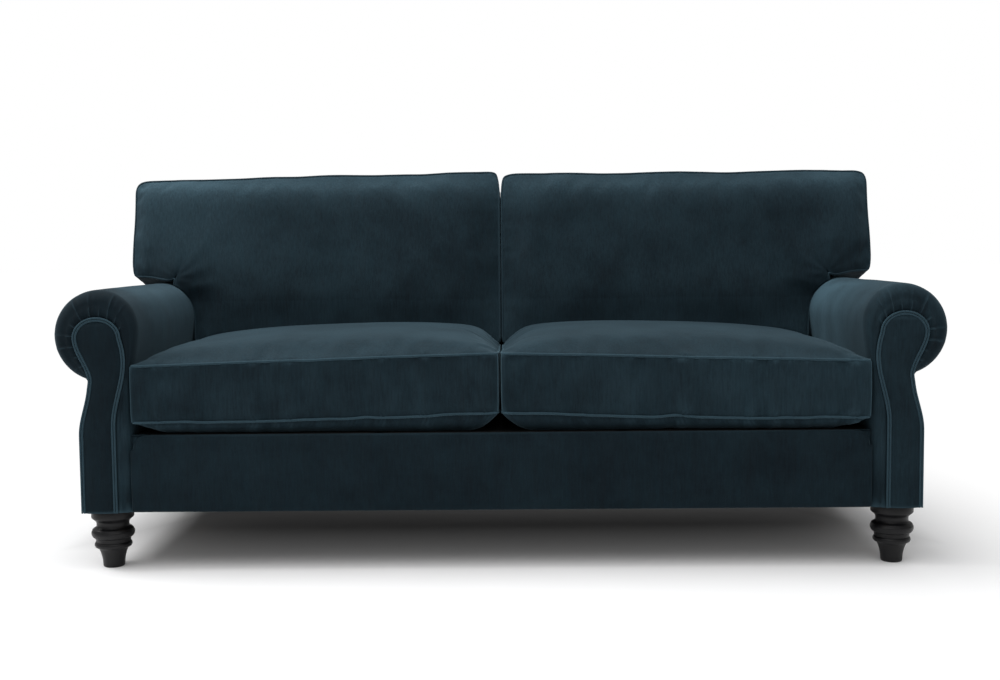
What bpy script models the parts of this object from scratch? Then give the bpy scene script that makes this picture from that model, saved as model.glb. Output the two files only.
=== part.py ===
"""Roll-arm three-seat sofa on turned wooden feet.

Units are metres. X runs along the sofa's width, -Y is its front and +Z is up. The origin is on the
floor, under the centre of the sofa. "left" is the -X side, on the left when seen from the front.
"""

from math import cos, pi, radians, sin, sqrt, tan

import bmesh
import bpy

# Overall size
WIDTH = 2.05
DEPTH = 0.92
FLOOR_TO_FRAME = 0.137
ARM_HEIGHT = 0.650
BACK_FRAME_HEIGHT = 0.872
DECK_TOP = 0.316
SEAT_HEIGHT = 0.517
BACK_CUSHION_TOP = 0.942

# Gap between pieces that touch, and how far a cutter runs past what it cuts
GAP = 0.0003
CUT_PAST = 0.040

# Planes of the front, from the foremost backwards
FRONT = -DEPTH / 2
FACING_FRONT = FRONT + 0.004
ARM_FRONT = FRONT + 0.010
FRAME_FRONT = ARM_FRONT + 0.014
BOARD_THICKNESS = 0.022
ARM_PAD_BACK = FRAME_FRONT + BOARD_THICKNESS + GAP

# Arms, measured outwards from the centre of the sofa
ARM_INSIDE = 0.845
ARM_OUTSIDE = 0.965
WAIST_X = 0.9425
WAIST_Z = 0.437
WAIST_FOOT_Z = 0.317
ROLL_RADIUS = 0.105
ROLL_X = WIDTH / 2 - ROLL_RADIUS
ROLL_Z = ARM_HEIGHT - ROLL_RADIUS
ROLL_UNDERSIDE = 0.442
ROLL_END_ANGLE = radians(-72)
INSIDE_SWELL = 0.013
SWELL_START_Z = 0.432
SWELL_PEAK_Z = 0.557
ARM_PAD = 0.028
SKIN = 0.008

# Rails inside each arm, as (inner x, outer x, bottom, top)
TOP_RAIL_GROOVE = (0.895, 0.938, ROLL_UNDERSIDE, 0.517)
ARM_LOWER_RAIL = (0.900, 0.930, 0.302, 0.347)

# Scroll-shaped board inside each arm front
BOARD_HEAD_RADIUS = 0.065
BOARD_INNER_X = ARM_INSIDE + ARM_PAD + 2 * GAP
BOARD_OUTER_X = 0.9335

# Facing panel on each arm front
FACING_HEAD_X = 0.918
FACING_HEAD_Z = 0.540
FACING_HEAD_WIDTH = 0.053
FACING_HEAD_HEIGHT = 0.046
FACING_NECK_Z = 0.487
FACING_BASE_Z = 0.337
FACING_INNER_NECK = 0.856
FACING_INNER_BASE = 0.883
FACING_OUTER_INSET = 0.003
FACING_FLARE_DROP = 0.02
FACING_NECK_BULGE = 0.01
ROUND_STEPS = 12

# Seat frame
RAIL_THICKNESS = 0.026
RAIL_TOP = 0.2747
SIDE_RAIL_OUTER_X = 0.950
SIDE_RAIL_INNER_X = 0.925
CENTRE_RAIL_TOP = 0.246
POST_WIDTH = 0.045
DECK_BOTTOM = 0.2800
PAD_BOTTOM = 0.2795

# Back, whose inside and outside faces lean backwards
INSIDE_RAKE = radians(10.5)
OUTSIDE_RAKE = radians(6.0)
INSIDE_BACK_Y = 0.228
BACK_PAD = 0.035
BACK_POST_DEPTH = 0.045
BACK_RAIL_DEPTH = 0.030
BACK_TOP_Z = 0.842
BACK_END = 0.012
BACK_NOTCH_Z = 0.532
BACK_TOP_RAIL_HEIGHT = 0.065
BACK_LOWER_RAIL_TOP = 0.402
BACK_LOWER_RAIL_HEIGHT = 0.060

# Sinuous springs
SPRING_COUNT = 8
SPRING_SPACING = 0.190
SPRING_WIRE_RADIUS = 0.0019
SPRING_HALF_WIDTH = 0.024
SPRING_LOOP_RADIUS = 0.0175
SPRING_START = 0.008
SPRING_END = 0.030

# Turned feet and their fixings
FOOT_X = 0.912
FRONT_FOOT_Y = ARM_FRONT + 0.055
REAR_FOOT_Y = 0.322
BOLT_RADIUS = 0.004
BOLT_TOP = 0.196
BORE_BOTTOM = 0.086
BLOCK_HEIGHT = 0.045
BLOCK_INNER_X = 0.860
BLOCK_DEPTH = 0.075
TURNED_SIDES = 20
HOLE_PLAY = 0.0015
BOLT_POINT_RADIUS = 0.0012
BOLT_POINT_LENGTH = 0.008
BOLT_CHAMFER = 0.001
NUT_WALL = 0.0009
NUT_BARREL = 0.012
NUT_FLANGE_RADIUS = 0.010
NUT_FLANGE = 0.0018

# Outline of a turned foot as (radius, height), from the floor up
FOOT_TAPER = [(0.0225, 0.0), (0.0248, 0.003), (0.0258, 0.018), (0.0285, 0.030), (0.0335, 0.043)]
FOOT_RING = ((0.0360, 0.0530), (0.0068, 0.0075))
FOOT_RING_HALF_TURN = radians(60)
FOOT_BUN = ((0.0385, 0.0810), (0.0108, 0.0125))
FOOT_BUN_HALF_TURN = radians(75)
FOOT_NECK = [(0.0375, 0.1020), (0.0380, 0.1060)]
FOOT_FLANGE_RADIUS = 0.0486
FOOT_FLANGE_Z = 0.1170
FOOT_FLARE = (0.0420, 0.1105)

# Dust cover, which stays clear of the feet
DUST_COVER_THICKNESS = 0.0015
DUST_COVER_FRONT = 0.006
DUST_COVER_REAR = 0.016
DUST_COVER_SIDE = 0.010
FOOT_CLEARANCE = 0.058

# Loose cushions
SEAT_BOTTOM = DECK_TOP + GAP
SEAT_PIPING_Z = 0.477
SEAT_HALF_WIDTH = 0.840
CUSHION_GAP = 0.0015
SEAT_GRID = 8
BACK_THICKNESS = 0.185
BACK_REST_Z = 0.484
BACK_BODY_X = 0.829
BACK_EAR_X = 1.016
EAR_BOTTOM_Z = 0.6525
CUSHION_ROUNDING = 0.014
BORDER_ROUNDING = 0.005
TOP_PAD_ROUNDING = 0.008

VELVET = ((0.030, 0.055, 0.070), 0.85, 0.0)
LINING = ((0.015, 0.015, 0.016), 0.90, 0.0)
HARDWOOD = ((0.52, 0.36, 0.20), 0.60, 0.0)
PAINTED_WOOD = ((0.014, 0.014, 0.017), 0.38, 0.0)
SPRING_STEEL = ((0.42, 0.42, 0.43), 0.35, 1.0)
PLATED_STEEL = ((0.62, 0.60, 0.52), 0.30, 1.0)

SIDES = {"left": -1, "right": 1}


def clear_scene():
    for obj in list(bpy.data.objects):
        bpy.data.objects.remove(obj, do_unlink=True)


def make_material(name, finish):
    colour, roughness, metallic = finish
    material = bpy.data.materials.new(name)
    material.use_nodes = True
    shader = material.node_tree.nodes["Principled BSDF"]
    shader.inputs["Base Color"].default_value = (*colour, 1)
    shader.inputs["Roughness"].default_value = roughness
    shader.inputs["Metallic"].default_value = metallic
    material.diffuse_color = (*colour, 1)
    return material


def add_object(name, data, finish, parent, location=(0, 0, 0)):
    """Links an object made from a mesh or a curve, with a material of its own."""
    obj = bpy.data.objects.new(name, data)
    bpy.context.scene.collection.objects.link(obj)
    obj.data.materials.append(make_material(name + "_material", finish))
    obj.location = location
    obj.parent = parent
    return obj


def add_mesh(name, bm, finish, parent, location=(0, 0, 0)):
    bmesh.ops.recalc_face_normals(bm, faces=bm.faces)
    mesh = bpy.data.meshes.new(name)
    bm.to_mesh(mesh)
    bm.free()
    return add_object(name, mesh, finish, parent, location)


def add_frame():
    """The empty that everything fixed hangs from."""
    frame = bpy.data.objects.new("sofa_frame", None)
    bpy.context.scene.collection.objects.link(frame)
    return frame


def inside_back_y(z):
    """Depth of the inside back's front face at height z."""
    return INSIDE_BACK_Y + (z - DECK_TOP) * tan(INSIDE_RAKE)


def outside_back_y(z):
    """Depth of the outside back's rear face at height z."""
    return DEPTH / 2 - (BACK_FRAME_HEIGHT - z) * tan(OUTSIDE_RAKE)


def level(y):
    """A plane of constant depth, in the same form as the two above."""
    return lambda z: y


def behind(plane, distance):
    return lambda z: plane(z) + distance


def prism(outline, front, back):
    """A solid between two planes. outline lists (x, z); front and back give the depth at a height."""
    bm = bmesh.new()
    near = [bm.verts.new((x, front(z), z)) for x, z in outline]
    far = [bm.verts.new((x, back(z), z)) for x, z in outline]
    bm.faces.new(near)
    bm.faces.new(far[::-1])
    for i, first in enumerate(near):
        after = (i + 1) % len(near)
        bm.faces.new((first, far[i], far[after], near[after]))
    return bm


def rectangle(x0, x1, z0, z1):
    return [(x0, z0), (x1, z0), (x1, z1), (x0, z1)]


def on_side(side, outline):
    return [(SIDES[side] * x, z) for x, z in outline]


def add_bevel(obj, width, segments=2, angle=radians(40)):
    bevel = obj.modifiers.new("rounded_edges", "BEVEL")
    bevel.width = width
    bevel.segments = segments
    bevel.limit_method = "ANGLE"
    bevel.angle_limit = angle


def shade_round(obj):
    obj.data.shade_smooth()
    obj.data.set_sharp_from_angle(angle=radians(35))


def turned(profile, closed=False):
    """A lathe-turned solid about Z. profile lists (radius, z). Its ends are capped unless it is closed."""
    bm = bmesh.new()
    angles = [2 * pi * i / TURNED_SIDES for i in range(TURNED_SIDES)]
    rings = [[bm.verts.new((r * cos(a), r * sin(a), z)) for a in angles] for r, z in profile]
    pairs = list(zip(rings, rings[1:]))
    if closed:
        pairs.append((rings[-1], rings[0]))
    else:
        bm.faces.new(rings[0])
        bm.faces.new(rings[-1])
    for low, high in pairs:
        for i in range(TURNED_SIDES):
            after = (i + 1) % TURNED_SIDES
            bm.faces.new((low[i], low[after], high[after], high[i]))
    return bm


def smooth_step(t):
    t = min(max(t, 0.0), 1.0)
    return t * t * (3 - 2 * t)


def arc(centre, radii, start, end, steps):
    """Points (x, z) along an elliptical arc, both ends included."""
    angles = [start + (end - start) * i / steps for i in range(steps + 1)]
    return [(centre[0] + radii[0] * cos(a), centre[1] + radii[1] * sin(a)) for a in angles]


# ---- arm outlines, drawn for the right-hand arm ----


def arm_inside_x(z):
    """The inside of the arm leans in a little as it rises to the roll."""
    return ARM_INSIDE - INSIDE_SWELL * smooth_step((z - SWELL_START_Z) / (SWELL_PEAK_Z - SWELL_START_Z))


def arm_outside_x(z):
    """Below the roll the outside flares from the waist to the base."""
    return WAIST_X + (ARM_OUTSIDE - WAIST_X) * smooth_step((WAIST_Z - z) / (WAIST_Z - WAIST_FOOT_Z))


def heights(low, high, steps):
    return [low + (high - low) * i / steps for i in range(steps + 1)]


def arm_inside_line(bottom):
    """Inside of the arm from bottom up to the top of the roll."""
    peak_x = arm_inside_x(SWELL_PEAK_Z)
    wall = [(arm_inside_x(z), z) for z in heights(SWELL_START_Z, SWELL_PEAK_Z, 4)]
    crown = arc((ROLL_X, SWELL_PEAK_Z), (ROLL_X - peak_x, ARM_HEIGHT - SWELL_PEAK_Z), pi, pi / 2, 6)
    return [(ARM_INSIDE, bottom)] + wall + crown[1:]


def roll_line():
    """Outside of the roll, from its top round to where it meets the outside arm."""
    return arc((ROLL_X, ROLL_Z), (ROLL_RADIUS, ROLL_RADIUS), pi / 2, ROLL_END_ANGLE, 12)[1:]


def arm_front_outline():
    waist = [(arm_outside_x(z), z) for z in reversed(heights(WAIST_FOOT_Z, WAIST_Z, 5))]
    return arm_inside_line(FLOOR_TO_FRAME) + roll_line() + waist + [(ARM_OUTSIDE, FLOOR_TO_FRAME)]


def board_outline(margin, bottom):
    """The scroll board: a straight stem under a round head. margin enlarges it."""
    inner = BOARD_INNER_X - margin
    outer = BOARD_OUTER_X + margin
    radius = BOARD_HEAD_RADIUS + margin
    inner_z = ROLL_Z - sqrt(radius**2 - (ROLL_X - inner) ** 2)
    outer_z = ROLL_Z - sqrt(radius**2 - (outer - ROLL_X) ** 2)
    start = 3 * pi / 2 - pi / 4
    end = -pi / 3
    head = arc((ROLL_X, ROLL_Z), (radius, radius), start, end, ROUND_STEPS)
    head = [p for p in head if p[1] > max(inner_z, outer_z) + margin]
    return [(inner, bottom), (inner, inner_z)] + head + [(outer, outer_z), (outer, bottom)]


def facing_outline():
    """The scroll-shaped facing, inside the pleated front of the roll."""
    top = arc((FACING_HEAD_X, FACING_HEAD_Z), (FACING_HEAD_WIDTH, FACING_HEAD_HEIGHT), pi, 0, ROUND_STEPS)
    neck_outer = WAIST_X - 2 * FACING_OUTER_INSET
    head_inner = FACING_HEAD_X - FACING_HEAD_WIDTH
    head_outer = FACING_HEAD_X + FACING_HEAD_WIDTH
    low_z = ROLL_UNDERSIDE
    outer = [
        (neck_outer + (head_outer - neck_outer) * smooth_step((z - low_z) / (FACING_HEAD_Z - low_z)), z)
        for z in reversed(heights(low_z, FACING_HEAD_Z, 5)[:-1])
    ]
    flare = [
        (arm_outside_x(z) - FACING_OUTER_INSET, z)
        for z in reversed(heights(WAIST_FOOT_Z, low_z - FACING_FLARE_DROP, 4))
    ]
    narrowing = FACING_INNER_BASE - FACING_INNER_NECK
    rise = FACING_NECK_Z - FACING_BASE_Z
    inner_low = [
        (FACING_INNER_BASE - narrowing * smooth_step((z - FACING_BASE_Z) / rise), z)
        for z in heights(FACING_BASE_Z, FACING_NECK_Z, 5)
    ]
    bottom = FLOOR_TO_FRAME
    halfway_z = (FACING_NECK_Z + FACING_HEAD_Z) / 2
    inner_neck_to_head = [((FACING_INNER_NECK + head_inner) / 2, halfway_z + FACING_NECK_BULGE)]
    base = [(ARM_OUTSIDE - FACING_OUTER_INSET, bottom), (FACING_INNER_BASE, bottom)]
    return top + outer + flare + base + inner_low + inner_neck_to_head


# ---- seat frame ----


def add_block(name, lows, highs, parent, finish=HARDWOOD):
    outline = rectangle(lows[0], highs[0], lows[2], highs[2])
    return add_mesh(name, prism(outline, level(lows[1]), level(highs[1])), finish, parent)


def add_seat_frame(frame):
    rail_back = FRAME_FRONT + RAIL_THICKNESS
    rear_back = outside_back_y(FLOOR_TO_FRAME) - SKIN - 2 * GAP
    rear_front = rear_back - RAIL_THICKNESS
    rail_end = BOARD_INNER_X - GAP
    low = FLOOR_TO_FRAME
    add_block("front_rail", (-rail_end, FRAME_FRONT, low), (rail_end, rail_back, RAIL_TOP), frame)
    add_block(
        "rear_rail",
        (-SIDE_RAIL_OUTER_X, rear_front, low),
        (SIDE_RAIL_OUTER_X, rear_back, RAIL_TOP),
        frame,
    )
    half = POST_WIDTH / 2
    add_block(
        "centre_rail",
        (-half, rail_back + GAP, low),
        (half, rear_front - GAP, CENTRE_RAIL_TOP),
        frame,
    )
    for side, sign in SIDES.items():
        across = sorted((sign * SIDE_RAIL_INNER_X, sign * SIDE_RAIL_OUTER_X))
        add_block(
            f"side_rail_{side}",
            (across[0], ARM_PAD_BACK, low),
            (across[1], rear_front - GAP, RAIL_TOP),
            frame,
        )
    add_corner_blocks(frame, {"front": rail_back + GAP, "rear": rear_front - GAP - BLOCK_DEPTH})


def add_corner_blocks(frame, starts):
    for end, start in starts.items():
        foot_y = {"front": FRONT_FOOT_Y, "rear": REAR_FOOT_Y}[end]
        for side, sign in SIDES.items():
            across = sorted((sign * BLOCK_INNER_X, sign * (SIDE_RAIL_INNER_X - GAP)))
            name = f"corner_block_{end}_{side}"
            block = add_block(
                name,
                (across[0], start, FLOOR_TO_FRAME),
                (across[1], start + BLOCK_DEPTH, FLOOR_TO_FRAME + BLOCK_HEIGHT),
                frame,
            )
            drill(block, (sign * FOOT_X, foot_y, 0), BOLT_RADIUS + HOLE_PLAY)


def drill(obj, location, radius):
    """Cuts a vertical hole right through obj."""
    bm = turned([(radius, 0.0), (radius, FLOOR_TO_FRAME * 2)])
    cutter = add_mesh(obj.name + "_hole", bm, HARDWOOD, obj.parent, location)
    cutter.hide_render = True
    cutter.display_type = "WIRE"
    cut = obj.modifiers.new("bolt_hole", "BOOLEAN")
    cut.operation = "DIFFERENCE"
    cut.solver = "EXACT"
    cut.object = cutter


def spring_points():
    """Route of one sinuous spring in its own XY plane: straight bars joined by half-round loops."""
    start = FRAME_FRONT + SPRING_START
    length = outside_back_y(RAIL_TOP) - SKIN - SPRING_END - start
    bars = int(length / (2 * SPRING_LOOP_RADIUS))
    reach = SPRING_HALF_WIDTH - SPRING_LOOP_RADIUS
    points = [(-reach, start)]
    for bar in range(bars):
        sign = 1 if bar % 2 == 0 else -1
        y = start + bar * 2 * SPRING_LOOP_RADIUS
        points.append((sign * reach, y))
        if bar < bars - 1:
            points.append((sign * SPRING_HALF_WIDTH, y + SPRING_LOOP_RADIUS))
            points.append((sign * reach, y + 2 * SPRING_LOOP_RADIUS))
    return points


def add_springs(frame):
    height = RAIL_TOP + SPRING_WIRE_RADIUS + GAP
    for number in range(SPRING_COUNT):
        curve = bpy.data.curves.new(f"seat_spring_{number + 1}", "CURVE")
        curve.dimensions = "3D"
        curve.bevel_depth = SPRING_WIRE_RADIUS
        curve.bevel_resolution = 0
        curve.use_fill_caps = True
        spline = curve.splines.new("POLY")
        route = spring_points()
        spline.points.add(len(route) - 1)
        for point, (x, y) in zip(spline.points, route):
            point.co = (x, y, 0, 1)
        x = (number - (SPRING_COUNT - 1) / 2) * SPRING_SPACING
        add_object(curve.name, curve, SPRING_STEEL, frame, (x, 0, height))


# ---- arms ----


def add_arm_frame(side, frame):
    post_front = behind(inside_back_y, BACK_PAD)
    rail_end = behind(inside_back_y, BACK_PAD - GAP)
    board_back = level(FRAME_FRONT + BOARD_THICKNESS)
    rail_front = level(ARM_PAD_BACK)
    board = on_side(side, board_outline(0, FLOOR_TO_FRAME))
    add_mesh(f"arm_front_board_{side}", prism(board, level(FRAME_FRONT), board_back), HARDWOOD, frame)
    inner, outer, bottom, top = TOP_RAIL_GROOVE
    top_rail = on_side(side, rectangle(inner + GAP, outer - GAP, bottom + GAP, top - GAP))
    add_mesh(f"arm_top_rail_{side}", prism(top_rail, rail_front, rail_end), HARDWOOD, frame)
    lower_rail = on_side(side, rectangle(*ARM_LOWER_RAIL))
    add_mesh(f"arm_lower_rail_{side}", prism(lower_rail, rail_front, rail_end), HARDWOOD, frame)
    post_inner_x = SIDE_RAIL_OUTER_X - POST_WIDTH
    post = on_side(side, rectangle(post_inner_x, SIDE_RAIL_OUTER_X, RAIL_TOP + GAP, BACK_TOP_Z - GAP))
    post_back = behind(post_front, BACK_POST_DEPTH)
    add_mesh(f"back_post_{side}", prism(post, behind(post_front, GAP), post_back), HARDWOOD, frame)


def add_arm_upholstery(side, frame):
    """The cover and padding of the inside arm and the roll, with a groove for the top rail."""
    inner_back = ARM_INSIDE + ARM_PAD
    inner, outer, bottom, top = TOP_RAIL_GROOVE
    groove = [(outer, bottom), (outer, top), (inner, top), (inner, bottom)]
    outline = arm_inside_line(PAD_BOTTOM) + roll_line() + groove
    outline += [(inner_back, ROLL_UNDERSIDE), (inner_back, PAD_BOTTOM)]
    solid = prism(on_side(side, outline), level(ARM_PAD_BACK), behind(inside_back_y, -GAP))
    shade_round(add_mesh(f"arm_upholstery_{side}", solid, VELVET, frame))


def add_arm_front(side, frame):
    """The padded arm front, hollowed behind for the scroll board and the end of the front rail."""
    outline = on_side(side, arm_front_outline())
    solid = prism(outline, level(ARM_FRONT), level(ARM_PAD_BACK - GAP))
    pad = add_mesh(f"arm_front_pad_{side}", solid, VELVET, frame)
    below = FLOOR_TO_FRAME - CUT_PAST
    rail_side = ARM_INSIDE - CUT_PAST
    pocket = board_outline(GAP, below)[1:]
    pocket += [(rail_side, below), (rail_side, RAIL_TOP + GAP), (BOARD_INNER_X - GAP, RAIL_TOP + GAP)]
    hollow = prism(on_side(side, pocket), level(FRAME_FRONT - GAP), level(ARM_PAD_BACK + CUT_PAST))
    cutter = add_mesh(f"arm_front_pad_{side}_hollow", hollow, VELVET, frame)
    cutter.hide_render = True
    cutter.display_type = "WIRE"
    cut = pad.modifiers.new("board_pocket", "BOOLEAN")
    cut.operation = "DIFFERENCE"
    cut.solver = "EXACT"
    cut.object = cutter


def add_arm_facing(side, frame):
    solid = prism(on_side(side, facing_outline()), level(FACING_FRONT), level(ARM_FRONT - GAP))
    add_mesh(f"arm_facing_{side}", solid, VELVET, frame)


def add_outside_arm(side, frame):
    """The thin flared panel below the roll."""
    top = ROLL_UNDERSIDE - GAP
    steps = heights(WAIST_FOOT_Z, WAIST_Z, 5)
    outer = [(ARM_OUTSIDE, FLOOR_TO_FRAME)] + [(arm_outside_x(z), z) for z in steps] + [(WAIST_X, top)]
    outline = outer + [(x - SKIN, z) for x, z in reversed(outer)]
    solid = prism(on_side(side, outline), level(ARM_PAD_BACK), behind(inside_back_y, -GAP))
    add_mesh(f"outside_arm_panel_{side}", solid, VELVET, frame)


# ---- seat upholstery ----


def add_seat_upholstery(frame):
    half = ARM_INSIDE - GAP
    apron = rectangle(-half, half, FLOOR_TO_FRAME, DECK_TOP)
    solid = prism(apron, level(ARM_FRONT), level(FRAME_FRONT - GAP))
    add_bevel(add_mesh("front_border", solid, VELVET, frame), BORDER_ROUNDING)
    deck = rectangle(-half, half, DECK_BOTTOM, DECK_TOP)
    add_mesh("seat_deck", prism(deck, level(FRAME_FRONT), behind(inside_back_y, -GAP)), LINING, frame)


def add_dust_cover(frame):
    """The cloth under the frame, notched round the four feet."""
    top = FLOOR_TO_FRAME - GAP
    bottom = top - DUST_COVER_THICKNESS
    front = FRAME_FRONT + DUST_COVER_FRONT
    rear = outside_back_y(FLOOR_TO_FRAME) - DUST_COVER_REAR
    wide = SIDE_RAIL_OUTER_X - DUST_COVER_SIDE
    narrow = FOOT_X - FOOT_CLEARANCE
    front_notch = FRONT_FOOT_Y + FOOT_CLEARANCE
    rear_notch = REAR_FOOT_Y - FOOT_CLEARANCE
    half = [(narrow, front), (narrow, front_notch), (wide, front_notch)]
    half += [(wide, rear_notch), (narrow, rear_notch), (narrow, rear)]
    outline = half + [(-x, y) for x, y in reversed(half)]
    bm = bmesh.new()
    lower = [bm.verts.new((x, y, bottom)) for x, y in outline]
    upper = [bm.verts.new((x, y, top)) for x, y in outline]
    bm.faces.new(lower)
    bm.faces.new(upper)
    for i, first in enumerate(lower):
        after = (i + 1) % len(lower)
        bm.faces.new((first, lower[after], upper[after], upper[i]))
    add_mesh("dust_cover", bm, LINING, frame)


# ---- back ----


def add_back_frame(frame):
    front = behind(inside_back_y, BACK_PAD + GAP)
    back = behind(inside_back_y, BACK_PAD + BACK_RAIL_DEPTH)
    half = SIDE_RAIL_OUTER_X - POST_WIDTH - GAP
    post = POST_WIDTH / 2
    top_rail_z = BACK_TOP_Z - BACK_TOP_RAIL_HEIGHT
    low = BACK_LOWER_RAIL_TOP
    rails = {
        "back_top_rail": rectangle(-half, half, top_rail_z, BACK_TOP_Z - GAP),
        "back_lower_rail": rectangle(-half, half, low - BACK_LOWER_RAIL_HEIGHT, low),
        "back_centre_post": rectangle(-post, post, low + GAP, top_rail_z - GAP),
    }
    for name, outline in rails.items():
        add_mesh(name, prism(outline, front, back), HARDWOOD, frame)


def add_back_upholstery(frame):
    end = ARM_OUTSIDE - BACK_END - GAP
    notch_x = ARM_INSIDE + ARM_PAD + GAP
    top = BACK_TOP_Z - GAP
    half = [(notch_x, PAD_BOTTOM), (notch_x, BACK_NOTCH_Z), (end, BACK_NOTCH_Z), (end, top)]
    outline = half + [(-x, z) for x, z in reversed(half)]
    pad = prism(outline, inside_back_y, behind(inside_back_y, BACK_PAD))
    add_mesh("inside_back_pad", pad, VELVET, frame)
    cap = rectangle(-ARM_OUTSIDE, ARM_OUTSIDE, BACK_TOP_Z, BACK_FRAME_HEIGHT)
    top_pad = add_mesh("back_top_pad", prism(cap, inside_back_y, outside_back_y), VELVET, frame)
    add_bevel(top_pad, TOP_PAD_ROUNDING)
    wall = rectangle(ARM_OUTSIDE - BACK_END, ARM_OUTSIDE, FLOOR_TO_FRAME, top)
    for side in SIDES:
        border = prism(on_side(side, wall), inside_back_y, behind(outside_back_y, -SKIN - GAP))
        add_mesh(f"back_end_border_{side}", border, VELVET, frame)
    panel = rectangle(-ARM_OUTSIDE, ARM_OUTSIDE, FLOOR_TO_FRAME, top)
    solid = prism(panel, behind(outside_back_y, -SKIN), outside_back_y)
    add_mesh("outside_back_panel", solid, VELVET, frame)


# ---- feet ----


def foot_profile():
    """Turned foot from the base up its outside, over the top and down the bore for the bolt."""
    top = FLOOR_TO_FRAME - GAP
    ring = arc(*FOOT_RING, -FOOT_RING_HALF_TURN, FOOT_RING_HALF_TURN, 4)
    bun = arc(*FOOT_BUN, -FOOT_BUN_HALF_TURN, FOOT_BUN_HALF_TURN, 6)
    flange = [FOOT_FLARE, (FOOT_FLANGE_RADIUS, FOOT_FLANGE_Z), (FOOT_FLANGE_RADIUS, top)]
    bore = [(BOLT_RADIUS + GAP, top), (BOLT_RADIUS + GAP, BORE_BOTTOM)]
    return FOOT_TAPER + ring + bun + FOOT_NECK + flange + bore


def add_feet(frame):
    places = {"front": FRONT_FOOT_Y, "rear": REAR_FOOT_Y}
    block_top = FLOOR_TO_FRAME + BLOCK_HEIGHT
    bolt = [
        (BOLT_POINT_RADIUS, BORE_BOTTOM + GAP),
        (BOLT_RADIUS, BORE_BOTTOM + BOLT_POINT_LENGTH),
        (BOLT_RADIUS, BOLT_TOP - BOLT_CHAMFER),
        (BOLT_RADIUS - BOLT_CHAMFER, BOLT_TOP),
    ]
    nut_bore = BOLT_RADIUS + GAP
    barrel = nut_bore + NUT_WALL
    nut = [
        (nut_bore, block_top - NUT_BARREL),
        (barrel, block_top - NUT_BARREL),
        (barrel, block_top + GAP),
        (NUT_FLANGE_RADIUS, block_top + GAP),
        (NUT_FLANGE_RADIUS, block_top + NUT_FLANGE),
        (nut_bore, block_top + NUT_FLANGE),
    ]
    for end, y in places.items():
        for side, sign in SIDES.items():
            place = (sign * FOOT_X, y, 0)
            foot = add_mesh(f"foot_{end}_{side}", turned(foot_profile()), PAINTED_WOOD, frame, place)
            shade_round(foot)
            screw = add_mesh(f"foot_bolt_{end}_{side}", turned(bolt), PLATED_STEEL, frame, place)
            shade_round(screw)
            sleeve = turned(nut, closed=True)
            shade_round(add_mesh(f"t_nut_{end}_{side}", sleeve, PLATED_STEEL, frame, place))


# ---- loose cushions ----


def crowned_slab(size, low, crown, steps):
    """A cushion with straight edges and a domed top. size is (width, depth, height at the edges)."""
    bm = bmesh.new()
    width, depth, edge = size

    def layer(height, rise):
        rows = []
        for j in range(steps + 1):
            v = 2 * j / steps - 1
            us = [2 * i / steps - 1 for i in range(steps + 1)]
            dome = [rise * (1 - u**4) * (1 - v**2) for u in us]
            row = [(u * width / 2, v * depth / 2, height + d) for u, d in zip(us, dome)]
            rows.append([bm.verts.new(point) for point in row])
        return rows

    bottom = layer(low, 0)
    top = layer(low + edge, crown)
    for rows in (bottom, top):
        for j in range(steps):
            for i in range(steps):
                bm.faces.new((rows[j][i], rows[j][i + 1], rows[j + 1][i + 1], rows[j + 1][i]))
    for lower, upper in ((bottom[0], top[0]), (bottom[-1], top[-1])):
        for i in range(steps):
            bm.faces.new((lower[i], lower[i + 1], upper[i + 1], upper[i]))
    for i in (0, steps):
        for j in range(steps):
            bm.faces.new((bottom[j][i], bottom[j + 1][i], top[j + 1][i], top[j][i]))
    return bm


def add_seat_cushion(side, frame):
    """A box cushion that slides out forwards over the front border."""
    back = inside_back_y(SEAT_BOTTOM) - 2 * GAP
    width = SEAT_HALF_WIDTH - CUSHION_GAP
    size = (width, back - FRONT, SEAT_PIPING_Z - SEAT_BOTTOM)
    place = (SIDES[side] * (CUSHION_GAP + width / 2), (FRONT + back) / 2, SEAT_BOTTOM)
    slab = crowned_slab(size, 0, SEAT_HEIGHT - SEAT_PIPING_Z, SEAT_GRID)
    shade_round(add_mesh(f"seat_cushion_{side}", slab, VELVET, frame, place))


def add_back_cushion(side, frame):
    """A T-shaped cushion that leans on the inside back. Its own Z axis runs up along the inside back."""
    rest_y = inside_back_y(BACK_REST_Z) - 2 * GAP
    length = (BACK_CUSHION_TOP - BACK_REST_Z - BACK_THICKNESS * sin(INSIDE_RAKE)) / cos(INSIDE_RAKE)
    ear = (EAR_BOTTOM_Z - BACK_REST_Z) / cos(INSIDE_RAKE)
    outline = [
        (CUSHION_GAP, 0),
        (BACK_BODY_X, 0),
        (BACK_BODY_X, ear),
        (BACK_EAR_X, ear),
        (BACK_EAR_X, length),
        (CUSHION_GAP, length),
    ]
    solid = prism(on_side(side, outline), level(-BACK_THICKNESS), level(0))
    cushion = add_mesh(f"back_cushion_{side}", solid, VELVET, frame, (0, rest_y, BACK_REST_Z))
    cushion.rotation_euler = (-INSIDE_RAKE, 0, 0)
    add_bevel(cushion, CUSHION_ROUNDING)


def build_sofa():
    clear_scene()
    frame = add_frame()
    add_seat_frame(frame)
    add_springs(frame)
    for side in SIDES:
        add_arm_frame(side, frame)
        add_arm_upholstery(side, frame)
        add_arm_front(side, frame)
        add_arm_facing(side, frame)
        add_outside_arm(side, frame)
    add_seat_upholstery(frame)
    add_dust_cover(frame)
    add_back_frame(frame)
    add_back_upholstery(frame)
    add_feet(frame)
    for side in SIDES:
        add_seat_cushion(side, frame)
        add_back_cushion(side, frame)


build_sofa()
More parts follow.
